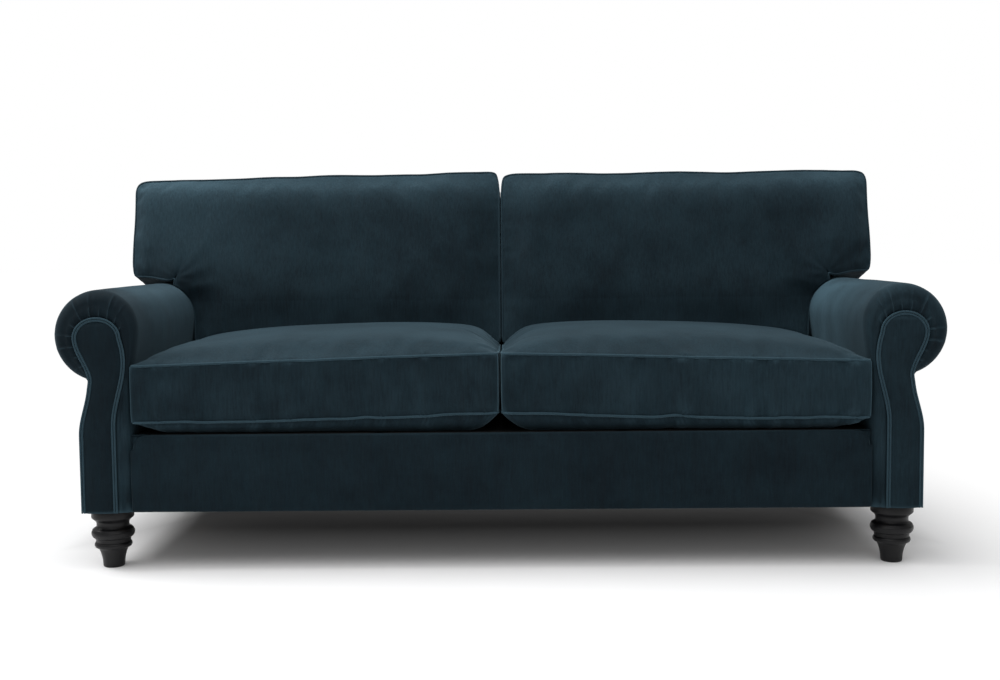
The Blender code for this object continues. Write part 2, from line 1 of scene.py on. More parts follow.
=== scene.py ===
"""The looks of the roll-arm sofa: velvet covers, stuffed cushions, piping and turned feet round the frame.

Units are metres, in the frame's axes: X along the width, -Y the front, +Z up. Shapes of the arms are drawn
for the right-hand arm and mirrored for the left.
"""

from math import cos, exp, hypot, pi, radians, sin, tan

import bmesh
import bpy
import numpy as np
from mathutils import Matrix, Vector, noise


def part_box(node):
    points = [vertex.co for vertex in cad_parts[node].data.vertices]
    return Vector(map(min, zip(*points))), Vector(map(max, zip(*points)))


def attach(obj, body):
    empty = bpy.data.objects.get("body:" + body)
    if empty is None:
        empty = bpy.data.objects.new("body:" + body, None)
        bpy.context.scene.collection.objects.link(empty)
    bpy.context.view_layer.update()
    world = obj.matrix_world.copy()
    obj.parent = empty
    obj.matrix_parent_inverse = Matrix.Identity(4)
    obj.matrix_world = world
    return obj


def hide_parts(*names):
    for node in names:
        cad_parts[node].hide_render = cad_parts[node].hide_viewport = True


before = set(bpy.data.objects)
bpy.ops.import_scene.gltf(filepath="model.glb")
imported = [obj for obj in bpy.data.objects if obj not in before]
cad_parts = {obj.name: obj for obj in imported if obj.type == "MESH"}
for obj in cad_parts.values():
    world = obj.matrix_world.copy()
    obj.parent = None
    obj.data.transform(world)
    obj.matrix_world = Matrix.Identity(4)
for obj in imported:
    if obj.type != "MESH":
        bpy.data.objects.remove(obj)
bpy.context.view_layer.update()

SIDES = {"left": -1, "right": 1}
GAP = 0.0003

# Places read from the CAD frame
ARM_LOW, ARM_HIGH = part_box("arm_front_pad_right")
PAD_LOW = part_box("arm_upholstery_right")[0]
FACING_LOW, FACING_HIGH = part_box("arm_facing_right")
PANEL_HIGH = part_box("outside_arm_panel_right")[1]
BORDER_LOW, BORDER_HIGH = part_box("front_border")
DECK_LOW, DECK_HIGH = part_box("seat_deck")
INSIDE_LOW, INSIDE_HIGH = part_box("inside_back_pad")
TOP_LOW, TOP_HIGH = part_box("back_top_pad")
END_LOW, END_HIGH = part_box("back_end_border_right")
REAR_LOW, REAR_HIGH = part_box("outside_back_panel")
SEAT_LOW, SEAT_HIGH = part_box("seat_cushion_right")
CUSHION_LOW, CUSHION_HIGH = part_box("back_cushion_right")

BASE_Z = ARM_LOW.z
ARM_FRONT = ARM_LOW.y
PAD_BACK = PAD_LOW.y
DECK_TOP = DECK_HIGH.z
ARM_OUTSIDE = PANEL_HIGH.x

# The arm's outside below its roll, which flares towards the base
WAIST_X = 0.9425
WAIST_Z = 0.437
FLARE_Z = 0.317

# Cross-section of the arm
ARM_INSIDE = BORDER_HIGH.x + GAP
ROLL_RADIUS = 0.105
ROLL_X = ARM_HIGH.x - ROLL_RADIUS
ROLL_Z = ARM_HIGH.z - ROLL_RADIUS
ROLL_END = radians(-72)
INSIDE_SWELL = ARM_INSIDE - ARM_LOW.x
SWELL_START_Z = 0.432
SWELL_PEAK_Z = 0.557
CROWN_WIDTH = ROLL_X - ARM_LOW.x
CROWN_HEIGHT = ARM_HIGH.z - SWELL_PEAK_Z
UNDER_ROLL_Z = WAIST_Z + 0.024

# Facing on the front of each arm
HEAD_WIDTH = 0.053
HEAD_HEIGHT = 0.046
HEAD_X = FACING_HIGH.x - HEAD_WIDTH
HEAD_Z = FACING_HIGH.z - HEAD_HEIGHT
FACING_NECK_Z = 0.487
FACING_BASE_Z = 0.337
FACING_INNER_NECK = 0.856
FACING_INNER_BASE = 0.883
FACING_INSET = 0.003

# The back's inside and outside faces lean backwards
INSIDE_RAKE = radians(10.5)
OUTSIDE_RAKE = radians(6.0)


def inside_back_y(z):
    return INSIDE_LOW.y + (z - INSIDE_LOW.z) * tan(INSIDE_RAKE)


def outside_back_y(z):
    return REAR_HIGH.y - (REAR_HIGH.z - z) * tan(OUTSIDE_RAKE)


def smooth_step(t):
    t = min(max(t, 0.0), 1.0)
    return t * t * (3 - 2 * t)


def share(value, low, high):
    """How far a value has come from low to high."""
    return (value - low) / (high - low)


def rise(value, start, end):
    """0 as far as the start and 1 from the end on, eased between. The end may be the lower of the two."""
    return smooth_step(share(value, start, end))


def unit(t):
    """An array's values, held between 0 and 1."""
    return np.clip(t, 0, 1)


def smooth(t):
    """smooth_step for arrays."""
    t = unit(t)
    return t * t * (3 - 2 * t)


def mix(a, b, t):
    return a + (b - a) * t


def even(start, end, steps):
    """Evenly spaced values from the first step after start to the end."""
    return [mix(start, end, i / steps) for i in range(1, steps + 1)]


def wander(x, y, z, scale, seed=0.0):
    """Smooth noise from -1 to 1 that varies over about `scale` metres."""
    return noise.noise(Vector((x / scale + seed * 17.3, y / scale - seed * 5.1, z / scale + seed)))


# ---- materials ----


def feed(tree, socket, value):
    """Links a socket to another node's output, or gives it a plain number, vector or colour."""
    if isinstance(value, bpy.types.NodeSocket):
        tree.links.new(value, socket)
    else:
        socket.default_value = (*value, 1) if socket.type == "RGBA" else value


def feed_all(tree, made, inputs):
    """Feeds several inputs of a node, by name."""
    for name, value in inputs.items():
        feed(tree, made.inputs[name], value)


def node(tree, kind, inputs=None, **settings):
    made = tree.nodes.new(kind)
    for name, value in settings.items():
        setattr(made, name, value)
    feed_all(tree, made, inputs or {})
    return made


def start_material(name, roughness, metallic=0.0, specular=0.5):
    material = bpy.data.materials.new(name)
    material.use_nodes = True
    tree = material.node_tree
    shader = tree.nodes["Principled BSDF"]
    feed_all(tree, shader, {"Roughness": roughness, "Metallic": metallic, "Specular IOR Level": specular})
    return material, tree, shader


def coordinates(tree, repeats=(1, 1, 1)):
    """The object's own coordinates, multiplied along each axis."""
    place = node(tree, "ShaderNodeTexCoord").outputs["Object"]
    return node(tree, "ShaderNodeMapping", {"Vector": place, "Scale": repeats}).outputs["Vector"]


def clouds(tree, detail, roughness=0.55, scale=1.0, repeats=(1, 1, 1), between=None):
    """Noise, finer by scale along all axes or by repeats along each. between holds what becomes 0 and 1."""
    place = coordinates(tree, repeats)
    inputs = {"Vector": place, "Scale": scale, "Detail": detail, "Roughness": roughness}
    made = node(tree, "ShaderNodeTexNoise", inputs).outputs["Fac"]
    return ramp(tree, made, *between) if between else made


def waves(tree, direction, inputs, repeats=(1, 1, 1)):
    """Parallel bands across one axis, such as threads or growth rings."""
    inputs = {"Vector": coordinates(tree, repeats), **inputs}
    return node(tree, "ShaderNodeTexWave", inputs, bands_direction=direction).outputs["Fac"]


def ramp(tree, factor, low, high, out_low=0.0, out_high=1.0):
    limits = {"From Min": low, "From Max": high, "To Min": out_low, "To Max": out_high}
    return node(tree, "ShaderNodeMapRange", {"Value": factor, **limits}).outputs["Result"]


def blend_colours(tree, factor, first, second, mode="MIX"):
    made = node(tree, "ShaderNodeMix", {"Factor": factor}, data_type="RGBA", blend_type=mode)
    for name, value in (("A", first), ("B", second)):
        feed(tree, next(s for s in made.inputs if s.name == name and s.type == "RGBA"), value)
    return next(s for s in made.outputs if s.type == "RGBA")


def maths(tree, operation, *values):
    made = node(tree, "ShaderNodeMath", operation=operation)
    for socket, value in zip(made.inputs, values):
        feed(tree, socket, value)
    return made.outputs["Value"]


def bump(tree, height, strength, distance, after=None):
    inputs = {"Height": height, "Strength": strength, "Distance": distance}
    if after is not None:
        inputs["Normal"] = after
    return node(tree, "ShaderNodeBump", inputs).outputs["Normal"]


# Velvet tones: the darkest nap, which is also the painted shade; the plain pile; and the paler tone used as
# painted light and highlight
VELVET_DEEP = (0.0016, 0.0046, 0.0074)
VELVET_BASE = (0.0088, 0.0212, 0.0290)
VELVET_PAINTED_LIGHT = (0.0370, 0.0735, 0.0960)
VELVET_SHEEN = (0.42, 0.66, 0.80)
# Painted light from above: how far up a face must turn before it is painted paler, and how pale it gets
# facing straight up
TOP_LIGHT_TURN = -0.30
TOP_LIGHT_GAIN = 0.37
FIBRES = (250, 250, 26)
WEAVE = (620, 620, 240)


def make_velvet(name, streaks=(70, 70, 5), lift=0.0, sheen=0.16):
    """Cut-pile velvet: soft nap patches and fine brushed streaks, painted light on faces turned up, painted
    light and shade from the 'nap' attribute, and edges painted paler as rubbed pile and highlight.
    """
    material, tree, shader = start_material(name, roughness=0.92, specular=0.12)
    patches = clouds(tree, 7.0, 0.72, scale=6.5, between=(0.36, 0.66))
    strokes = clouds(tree, 6.0, 0.80, repeats=streaks, between=(0.34, 0.68))
    threads = clouds(tree, 3.0, 0.7, repeats=FIBRES, between=(0.30, 0.70))
    pile = clouds(tree, 2.0, 0.7, scale=950.0)
    weave = clouds(tree, 2.0, 0.5, repeats=WEAVE)
    nap = maths(tree, "ADD", maths(tree, "MULTIPLY", patches, 0.46), maths(tree, "MULTIPLY", strokes, 0.28))
    nap = maths(tree, "ADD", nap, maths(tree, "MULTIPLY", threads, 0.32))
    # The 'nap' attribute holds painted light above 0 and painted shade below 0, with some uneven nap
    painted_light_and_shade = node(tree, "ShaderNodeAttribute", attribute_name="nap").outputs["Fac"]
    colour = blend_colours(tree, nap, VELVET_DEEP, VELVET_BASE)
    geometry = node(tree, "ShaderNodeNewGeometry")
    normal = node(tree, "ShaderNodeSeparateXYZ", {"Vector": geometry.outputs["Normal"]})
    # Painted light: faces turned up are painted paler, never less than lift, and the 'nap' attribute adds
    # its painted light
    painted_top_light = ramp(tree, normal.outputs["Z"], TOP_LIGHT_TURN, 1.0, lift, TOP_LIGHT_GAIN)
    painted_top_light = maths(tree, "ADD", painted_top_light, painted_light_and_shade)
    painted_top_light = maths(tree, "MULTIPLY", painted_top_light, ramp(tree, threads, 0.0, 1.0, 0.72, 1.28))
    colour = blend_colours(tree, painted_top_light, colour, VELVET_PAINTED_LIGHT)
    # Painted shade: the colour goes towards the darkest tone where the attribute is below 0
    colour = blend_colours(tree, ramp(tree, painted_light_and_shade, -1.0, 0.0, 1.0, 0.0), colour, VELVET_DEEP)
    # Edges painted paler by their pointiness: partly rubbed pile, partly painted highlight
    pale_edges = ramp(tree, geometry.outputs["Pointiness"], 0.515, 0.60, 0.0, 0.55)
    colour = blend_colours(tree, pale_edges, colour, VELVET_PAINTED_LIGHT)
    fleck = ramp(tree, pile, 0.3, 0.7, 0.78, 1.22)
    grey = node(tree, "ShaderNodeCombineColor", {"Red": fleck, "Green": fleck, "Blue": fleck})
    soft = bump(tree, strokes, 0.10, 0.0012)
    soft = bump(tree, weave, 0.16, 0.0005, soft)
    finish = {
        "Base Color": blend_colours(tree, 1.0, colour, grey.outputs["Color"], "MULTIPLY"),
        "Roughness": ramp(tree, strokes, 0.0, 1.0, 0.82, 0.97),
        # No sheen where the attribute paints full shade
        "Sheen Weight": ramp(tree, painted_light_and_shade, -1.0, -0.7, 0.0, sheen),
        "Sheen Roughness": 0.38,
        "Sheen Tint": VELVET_SHEEN,
        "Normal": bump(tree, pile, 0.22, 0.0004, soft),
    }
    feed_all(tree, shader, finish)
    return material


def make_lining():
    """Plain-woven black platform cloth."""
    material, tree, shader = start_material("lining_cloth", roughness=0.88, specular=0.2)
    threading = {"Scale": 420.0, "Distortion": 0.6, "Detail": 1.0}
    threads = maths(tree, "MULTIPLY", *(waves(tree, direction, threading) for direction in "XY"))
    dust = clouds(tree, 5.0, scale=9.0, between=(0.35, 0.75))
    colour = blend_colours(tree, threads, (0.006, 0.006, 0.007), (0.020, 0.020, 0.022))
    colour = blend_colours(tree, maths(tree, "MULTIPLY", dust, 0.3), colour, (0.034, 0.033, 0.031))
    feed_all(tree, shader, {"Base Color": colour, "Normal": bump(tree, threads, 0.5, 0.0004)})
    return material


def make_hardwood():
    """Sawn, unfinished frame timber with long grain, pores and patches of darker tone."""
    material, tree, shader = start_material("frame_timber", roughness=0.62)
    growth = {"Scale": 1.0, "Distortion": 7.0, "Detail": 3.0, "Detail Scale": 1.4}
    rings = waves(tree, "Z", growth, repeats=(2.2, 34, 34))
    pores = clouds(tree, 3.0, repeats=(30, 900, 900), between=(0.55, 0.72))
    tone = clouds(tree, 4.0, scale=3.0, between=(0.35, 0.7))
    colour = blend_colours(tree, rings, (0.43, 0.27, 0.14), (0.60, 0.43, 0.25))
    colour = blend_colours(tree, maths(tree, "MULTIPLY", tone, 0.5), colour, (0.36, 0.21, 0.10))
    colour = blend_colours(tree, maths(tree, "MULTIPLY", pores, 0.6), colour, (0.17, 0.09, 0.04))
    rough = ramp(tree, rings, 0.0, 1.0, 0.52, 0.72)
    pitted = bump(tree, pores, 0.3, 0.0005)
    feed_all(tree, shader, {"Base Color": colour, "Roughness": rough, "Normal": pitted})
    return material


def make_foot_paint():
    """Charcoal paint over turned wood: faint upright grain, fine lathe lines, edges rubbed paler."""
    material, tree, shader = start_material("foot_paint", roughness=0.42, specular=0.28)
    grain = clouds(tree, 4.0, 0.6, repeats=(260, 260, 16), between=(0.32, 0.74))
    lathe = clouds(tree, 2.0, repeats=(3, 3, 900))
    patches = clouds(tree, 4.0, scale=26.0, between=(0.3, 0.7))
    colour = blend_colours(tree, grain, (0.0018, 0.0019, 0.0024), (0.0050, 0.0052, 0.0064))
    colour = blend_colours(tree, maths(tree, "MULTIPLY", patches, 0.35), colour, (0.0065, 0.0065, 0.0078))
    geometry = node(tree, "ShaderNodeNewGeometry")
    pale_edges = ramp(tree, geometry.outputs["Pointiness"], 0.53, 0.62, 0.0, 0.6)
    colour = blend_colours(tree, pale_edges, colour, (0.030, 0.029, 0.031))
    rough = ramp(tree, patches, 0.0, 1.0, 0.34, 0.52)
    ridged = bump(tree, lathe, 0.2, 0.0004, bump(tree, grain, 0.25, 0.0006))
    feed_all(tree, shader, {"Base Color": colour, "Roughness": rough, "Normal": ridged})
    return material


def make_steel(name, dark, light, roughness, streaks):
    """Metal with drawn or plated streaks and a dull bloom."""
    material, tree, shader = start_material(name, roughness=roughness, metallic=1.0)
    drawn = clouds(tree, 3.0, repeats=streaks, between=(0.3, 0.7))
    bloom = clouds(tree, 4.0, scale=120.0, between=(0.4, 0.7))
    colour = blend_colours(tree, drawn, dark, light)
    colour = blend_colours(tree, maths(tree, "MULTIPLY", bloom, 0.4), colour, dark)
    rough = ramp(tree, bloom, 0.0, 1.0, roughness, roughness + 0.22)
    scored = bump(tree, drawn, 0.15, 0.0002)
    feed_all(tree, shader, {"Base Color": colour, "Roughness": rough, "Normal": scored})
    return material


# Stretches of the floor, in metres from its middle, over which each change of its brightness runs
GLOW_REACH = (1.25, 2.7)
GLOW_AHEAD = (-1.7, -0.9)
GLOW_BEYOND = (-2.5, -3.4)
GLOW_ASIDE = (1.4, 2.0)
BESIDE_FADE = (1.0, 1.5)
FILL_AHEAD = (0.0, -0.45)
SHADE_ASIDE = (0.80, 1.10)
SHADE_AHEAD = (0.20, -0.25)
SHADE_BEHIND = (0.38, 0.70)

# A faint glow in front of the sofa, as painted light, and how bright the paint is in the painted shadow
# under it
FILL = 0.07
SHADE = 0.24
BLACK = (0.0, 0.0, 0.0)
WHITE = (1.0, 1.0, 1.0)


def make_floor_paint():
    """Pale studio floor that glows white away from the sofa and faintly in front of it, as painted light,
    with a painted shadow under the sofa.
    """
    material, tree, shader = start_material("studio_floor", roughness=0.75, specular=0.2)
    cloud = clouds(tree, 3.0, scale=1.3, between=(0.3, 0.7))
    colour = blend_colours(tree, cloud, (0.86, 0.86, 0.865), (0.90, 0.90, 0.905))
    reach = node(tree, "ShaderNodeVectorMath", {0: coordinates(tree)}, operation="LENGTH").outputs["Value"]
    axes = node(tree, "ShaderNodeSeparateXYZ", {"Vector": coordinates(tree)}).outputs
    aside, depth = maths(tree, "ABSOLUTE", axes["X"]), axes["Y"]
    near = ramp(tree, depth, *GLOW_AHEAD)
    near = maths(tree, "MAXIMUM", near, ramp(tree, depth, *GLOW_BEYOND))
    near = maths(tree, "MAXIMUM", near, ramp(tree, aside, *GLOW_ASIDE))
    # Painted light: the floor glows away from the sofa and faintly in front of it
    glow = maths(tree, "MULTIPLY", ramp(tree, reach, *GLOW_REACH), near)
    glow = maths(tree, "MAXIMUM", glow, ramp(tree, aside, *BESIDE_FADE))
    glow = maths(tree, "MAXIMUM", glow, ramp(tree, depth, *FILL_AHEAD, 0.0, FILL))
    # Painted shadow: the paint darkens under the sofa
    lit = ramp(tree, aside, *SHADE_ASIDE, SHADE, 1.0)
    for stretch in (SHADE_AHEAD, SHADE_BEHIND):
        lit = maths(tree, "MAXIMUM", lit, ramp(tree, depth, *stretch, SHADE, 1.0))
    colour = blend_colours(tree, glow, blend_colours(tree, lit, BLACK, colour), BLACK)
    feed_all(tree, shader, {"Base Color": colour, "Emission Color": WHITE, "Emission Strength": glow})
    return material


VELVET = make_velvet("velvet_upright")
SEAT_VELVET = make_velvet("velvet_seat", streaks=(60, 60, 9))
# The piping is painted paler than the other velvet even on faces that do not turn up: painted highlight
PIPING = make_velvet("velvet_piping", streaks=(160, 160, 160), lift=0.30, sheen=0.28)
LINING = make_lining()
HARDWOOD = make_hardwood()
FOOT_PAINT = make_foot_paint()
SPRING_STEEL = make_steel("spring_wire", (0.16, 0.16, 0.17), (0.42, 0.42, 0.44), 0.35, (90, 900, 90))
PLATED_STEEL = make_steel("zinc_plate", (0.40, 0.37, 0.28), (0.70, 0.66, 0.52), 0.28, (400, 400, 60))


# ---- mesh builders ----


def add_piece(name, verts, faces, material, body="sofa_frame", slot="velvet", stands_for=(), fill=None):
    """A smooth-shaded piece riding on a body, with its faces turned outwards."""
    bm = bmesh.new()
    made = [bm.verts.new(v) for v in verts]
    for face in faces:
        bm.faces.new([made[i] for i in face])
    bmesh.ops.recalc_face_normals(bm, faces=bm.faces)
    mesh = bpy.data.meshes.new(name)
    bm.to_mesh(mesh)
    bm.free()
    mesh.shade_smooth()
    mesh.materials.append(material)
    piece = bpy.data.objects.new(name, mesh)
    bpy.context.scene.collection.objects.link(piece)
    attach(piece, body)
    if stands_for:
        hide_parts(*stands_for)
    return piece


def stations(low, high, radius, step):
    """Places along one edge of a block: close together over each end's rounding, `step` apart between."""
    turns = [tan(radians(a)) * radius for a in (45, 33.75, 22.5, 11.25, 0)]
    start, end = low + radius, high - radius
    count = max(1, round((end - start) / step))
    middle = even(start, end, count)[:-1]
    return [start - t for t in turns] + middle + [end + t for t in reversed(turns)]


def rounded_block(low, high, radius, step, shape):
    """Vertices and faces of a closed block with rounded edges. shape moves each finished point."""
    axes = [stations(low[i], high[i], radius, step) for i in range(3)]
    counts = [len(a) - 1 for a in axes]
    index, verts, faces = {}, [], []

    def corner(key):
        if key not in index:
            point = Vector((axes[0][key[0]], axes[1][key[1]], axes[2][key[2]]))
            core = Vector([min(max(point[i], low[i] + radius), high[i] - radius) for i in range(3)])
            point = core + (point - core).normalized() * radius
            index[key] = len(verts)
            verts.append(shape(point))
        return index[key]

    for axis in range(3):
        u, v = [i for i in range(3) if i != axis]
        for end in (0, counts[axis]):
            for i in range(counts[u]):
                for j in range(counts[v]):
                    keys = []
                    for du, dv in ((0, 0), (1, 0), (1, 1), (0, 1)):
                        key = [0, 0, 0]
                        key[axis], key[u], key[v] = end, i + du, j + dv
                        keys.append(corner(tuple(key)))
                    faces.append(keys)
    return verts, faces


def ring_faces(count, sides, closed=False):
    """Faces that join rings of vertices one after another, with a cap at each end unless they close."""
    faces = []
    for i in range(count if closed else count - 1):
        for k in range(sides):
            after = (k + 1) % sides
            row, up = i * sides, ((i + 1) % count) * sides
            faces.append((row + k, row + after, up + after, up + k))
    if not closed:
        faces.append(tuple(range(sides))[::-1])
        faces.append(tuple(range((count - 1) * sides, count * sides)))
    return faces


def tube(path, radius, sides=8, closed=False):
    """Vertices and faces of a round cord along a path of points."""
    path = [Vector(p) for p in path]
    count = len(path)
    verts = []
    across = None
    for i, point in enumerate(path):
        ahead = path[(i + 1) % count] if closed or i < count - 1 else point
        behind = path[i - 1] if closed or i > 0 else point
        along = (ahead - behind).normalized()
        if across is None:
            across = along.orthogonal().normalized()
        across = (across - along * across.dot(along)).normalized()
        other = along.cross(across)
        for k in range(sides):
            a = 2 * pi * k / sides
            verts.append(point + (across * cos(a) + other * sin(a)) * radius)
    return verts, ring_faces(count, sides, closed)


def joined(parts):
    """One list of vertices and one of faces from several."""
    verts, faces = [], []
    for more, loops in parts:
        start = len(verts)
        verts += list(more)
        faces += [tuple(i + start for i in loop) for loop in loops]
    return verts, faces


def on_side(side, verts):
    """Points drawn for the right-hand side, moved to a side."""
    sign = SIDES[side]
    return [Vector((sign * v[0], v[1], v[2])) for v in verts]


def smoothed(path, rounds, closed=False):
    """The path with small jogs relaxed out of it. An open path keeps its ends."""
    path = [Vector(p) for p in path]
    for _ in range(rounds):
        last = len(path) - 1
        path = [
            p if not closed and i in (0, last) else (path[i - 1] + p * 2 + path[(i + 1) % len(path)]) / 4
            for i, p in enumerate(path)
        ]
    return path


def add_mirrored(name, side, shape, material, **more):
    """A piece for one side, from vertices and faces that are drawn for the right-hand side."""
    verts, faces = shape
    return add_piece(name, on_side(side, verts), faces, material, **more)


def paint_light_and_shade(piece, amount):
    """Stores at each point painted light (above 0, paler) or painted shade (below 0, darker), with some
    uneven nap, as the 'nap' attribute.
    """
    layer = piece.data.attributes.new("nap", "FLOAT", "POINT")
    for i, vertex in enumerate(piece.data.vertices):
        layer.data[i].value = amount(vertex.co)


def add_shell(piece, thickness):
    """Gives an open cover its thickness, inwards."""
    shell = piece.modifiers.new("wadding", "SOLIDIFY")
    shell.thickness = thickness
    shell.offset = -1


# ---- arms ----


def arm_inside_x(z):
    return ARM_INSIDE - INSIDE_SWELL * rise(z, SWELL_START_Z, SWELL_PEAK_Z)


def arm_outside_x(z):
    return WAIST_X + (ARM_OUTSIDE - WAIST_X) * rise(z, WAIST_Z, FLARE_Z)


def facing_inner_x(z):
    if z > FACING_NECK_Z:
        return mix(FACING_INNER_NECK, HEAD_X - HEAD_WIDTH, share(z, FACING_NECK_Z, HEAD_Z) ** 2)
    return mix(FACING_INNER_BASE, FACING_INNER_NECK, rise(z, FACING_BASE_Z, FACING_NECK_Z))


def facing_outer_x(z):
    if z <= WAIST_Z:
        return arm_outside_x(z) - FACING_INSET
    neck = WAIST_X - 2 * FACING_INSET
    return mix(neck, HEAD_X + HEAD_WIDTH, rise(z, WAIST_Z, HEAD_Z))


def on_roll(a):
    """A place round the roll, which is wider over the seat than on its outer side."""
    if a > pi / 2:
        return ROLL_X + CROWN_WIDTH * cos(a), SWELL_PEAK_Z + CROWN_HEIGHT * sin(a)
    return ROLL_X + ROLL_RADIUS * cos(a), ROLL_Z + ROLL_RADIUS * sin(a)


def on_head(a):
    """A place round the head of the facing."""
    return HEAD_X + HEAD_WIDTH * cos(a), HEAD_Z + HEAD_HEIGHT * sin(a)


def arm_sections():
    """Matched points round the arm, as (arm x, z, facing x, z, angle round the roll or None, zone)."""
    found = []
    for z in [BASE_Z] + even(BASE_Z, SWELL_START_Z, 22):
        found.append((ARM_INSIDE, z, facing_inner_x(z), z, None, "wall"))
    for t in even(0, 1, 12):
        z = mix(SWELL_START_Z, SWELL_PEAK_Z, t)
        low = mix(SWELL_START_Z, HEAD_Z, t)
        found.append((arm_inside_x(z), z, facing_inner_x(low), low, None, "wall"))
    for a in even(pi, pi / 2, 80) + even(pi / 2, 0, 80):
        found.append((*on_roll(a), *on_head(a), a, "roll"))
    for a in even(0, ROLL_END, 60):
        low = mix(HEAD_Z, UNDER_ROLL_Z, a / ROLL_END)
        found.append((*on_roll(a), facing_outer_x(low), low, a, "roll"))
    end_x, end_z = found[-1][:2]
    for t in even(0, 1, 4):
        low = mix(UNDER_ROLL_Z, WAIST_Z, t)
        outer = (mix(end_x, WAIST_X, t), mix(end_z, WAIST_Z, t))
        found.append((*outer, facing_outer_x(low), low, None, "crease"))
    for z in even(WAIST_Z, BASE_Z, 26):
        found.append((arm_outside_x(z), z, facing_outer_x(z), z, None, "outside"))
    return found


PLEATS = [radians(a) for a in (158, 139, 118, 97, 76, 54, 30, 6, -17, -38, -56)]
PLEAT_RISE = 0.0024
PLEAT_WIDTH = radians(2.8)


def pleat_height(angle, inwards):
    """How far the gathered front of the roll stands proud. inwards is 0 at the edge and 1 at the facing."""
    if angle is None:
        return 0.0
    height = 0.0
    for i, centre in enumerate(PLEATS):
        offset = (angle - centre - 0.05 * sin(i * 5.1) * (1 - inwards)) / PLEAT_WIDTH
        steepness = 0.5 if offset > 0 else 1.3
        fold = exp(-((abs(offset) / steepness) ** 1.3))
        valley = exp(-(((offset - 1.6) / 0.9) ** 2))
        height += PLEAT_RISE * smooth_step((inwards + 0.35 * (i % 3)) / 0.7) * (fold - 0.35 * valley)
    return height


EDGE_RADIUS = 0.034
EDGE_SHARE = 0.62
SHALLOW_Z = 0.36
DEEP_Z = 0.44
TUCK = 0.005
FRONT_DISH = 0.0022
FRONT_SWELL = 0.0045
PAD_SOFTNESS = 0.0022
EAR_DENT = 0.0015
EAR_FRONT_Y = 0.08
EAR_DENT_Z = 0.59
FACE_ROWS = 14
TURN_ROWS = 7
PAD_ROWS = 3
LENGTH_ROWS = 26
CAP_ROWS = 6


def arm_column(section, seed):
    """Points of one section: from under the facing, across the front, round the edge and to the back."""
    x, z, inner_x, inner_z, angle, zone = section
    start, rim = Vector((inner_x, inner_z)), Vector((x, z))
    outward = rim - start
    span = outward.length
    outward = outward.normalized() if span > 1e-6 else Vector((1, 0))
    radius = min(EDGE_RADIUS, EDGE_SHARE * span)
    depth = mix(radius, EDGE_RADIUS, rise(z, SHALLOW_Z, DEEP_Z))
    edge = rim - outward * radius
    tucked = start - outward * TUCK
    swell = min(FRONT_SWELL, span * 0.16)
    points = [Vector((tucked.x, ARM_FRONT + TUCK, tucked.y))]
    for i in range(FACE_ROWS + 1):
        t = i / FACE_ROWS
        at = start.lerp(edge, t)
        crown = swell * sin(pi * min(1.0, 0.12 + t * 0.88))
        y = ARM_FRONT + FRONT_DISH * (1 - t) - crown - pleat_height(angle, 1 - t)
        points.append(Vector((at.x, y, at.y)))
    for a in even(0, pi / 2, TURN_ROWS):
        at = edge + outward * radius * sin(a)
        y = ARM_FRONT + depth * (1 - cos(a)) - pleat_height(angle, 0) * cos(a)
        points.append(Vector((at.x, y, at.y)))
    points += [Vector((x, y, z)) for y in even(ARM_FRONT + depth, PAD_BACK - GAP, PAD_ROWS)]
    height = z
    if zone == "wall" and z < SWELL_START_Z:
        height = mix(PAD_LOW.z, SWELL_START_Z, share(z, BASE_Z, SWELL_START_Z))
    outwards = 1 if zone == "roll" and x > ROLL_X else -1
    for t in even(0, 1, LENGTH_ROWS):
        y = mix(PAD_BACK, inside_back_y(height) - GAP, t)
        soft = PAD_SOFTNESS * wander(x, y, height, 0.16, seed) * sin(pi * min(1.0, t * 1.6 + 0.1))
        if zone in ("outside", "crease"):
            soft = 0.0
        under_ear = rise(y, EAR_FRONT_Y, EAR_FRONT_Y + 0.04) * rise(height, EAR_DENT_Z, EAR_DENT_Z + 0.05)
        points.append(Vector((x + soft * outwards, y, height + soft - EAR_DENT * under_ear)))
    centre = Vector((ROLL_X, min(max(z, ROLL_Z - 0.05), ROLL_Z + 0.03)))
    for t in even(0, 1, CAP_ROWS):
        at = rim.lerp(centre, t)
        points.append(Vector((at.x, inside_back_y(at.y) - GAP, at.y)))
    return points


def arm_painted_light_and_shade(p):
    """Painted light on the inside of the arm, paler towards the back and more on the right arm, and painted
    shade at the front of the roll, more on the left, in uneven sweeps with some random nap mottling.
    """
    strength, front_shade = (0.16, 0.62) if p.x < 0 else (1.05, 0.08)
    inside = rise(abs(p.x), HEAD_X, HEAD_X - 0.06)
    back = rise(p.y, ARM_FRONT + 0.10, ARM_FRONT + 0.45)
    sweep = 0.65 + 0.6 * wander(p.x, p.y * 0.5, p.z * 0.3, 0.035, 12.0)
    mottle = 0.11 * wander(p.x, p.y, p.z * 0.5, 0.040, 14.0)
    mottle += 0.07 * wander(p.x, p.y * 0.4, p.z * 0.4, 0.016, 15.0)
    # Painted shade at the front of the roll
    ahead = rise(p.y, ARM_FRONT + 0.17, ARM_FRONT) * rise(p.z, 0.44, 0.50)
    return strength * inside * back * sweep - front_shade * ahead + mottle


def facing_painted_shade(p):
    """Painted shade on the facings, darker on the left than on the right."""
    return -0.34 if p.x < 0 else -0.03


ON_BACK_CUSHIONS_Z = 0.6


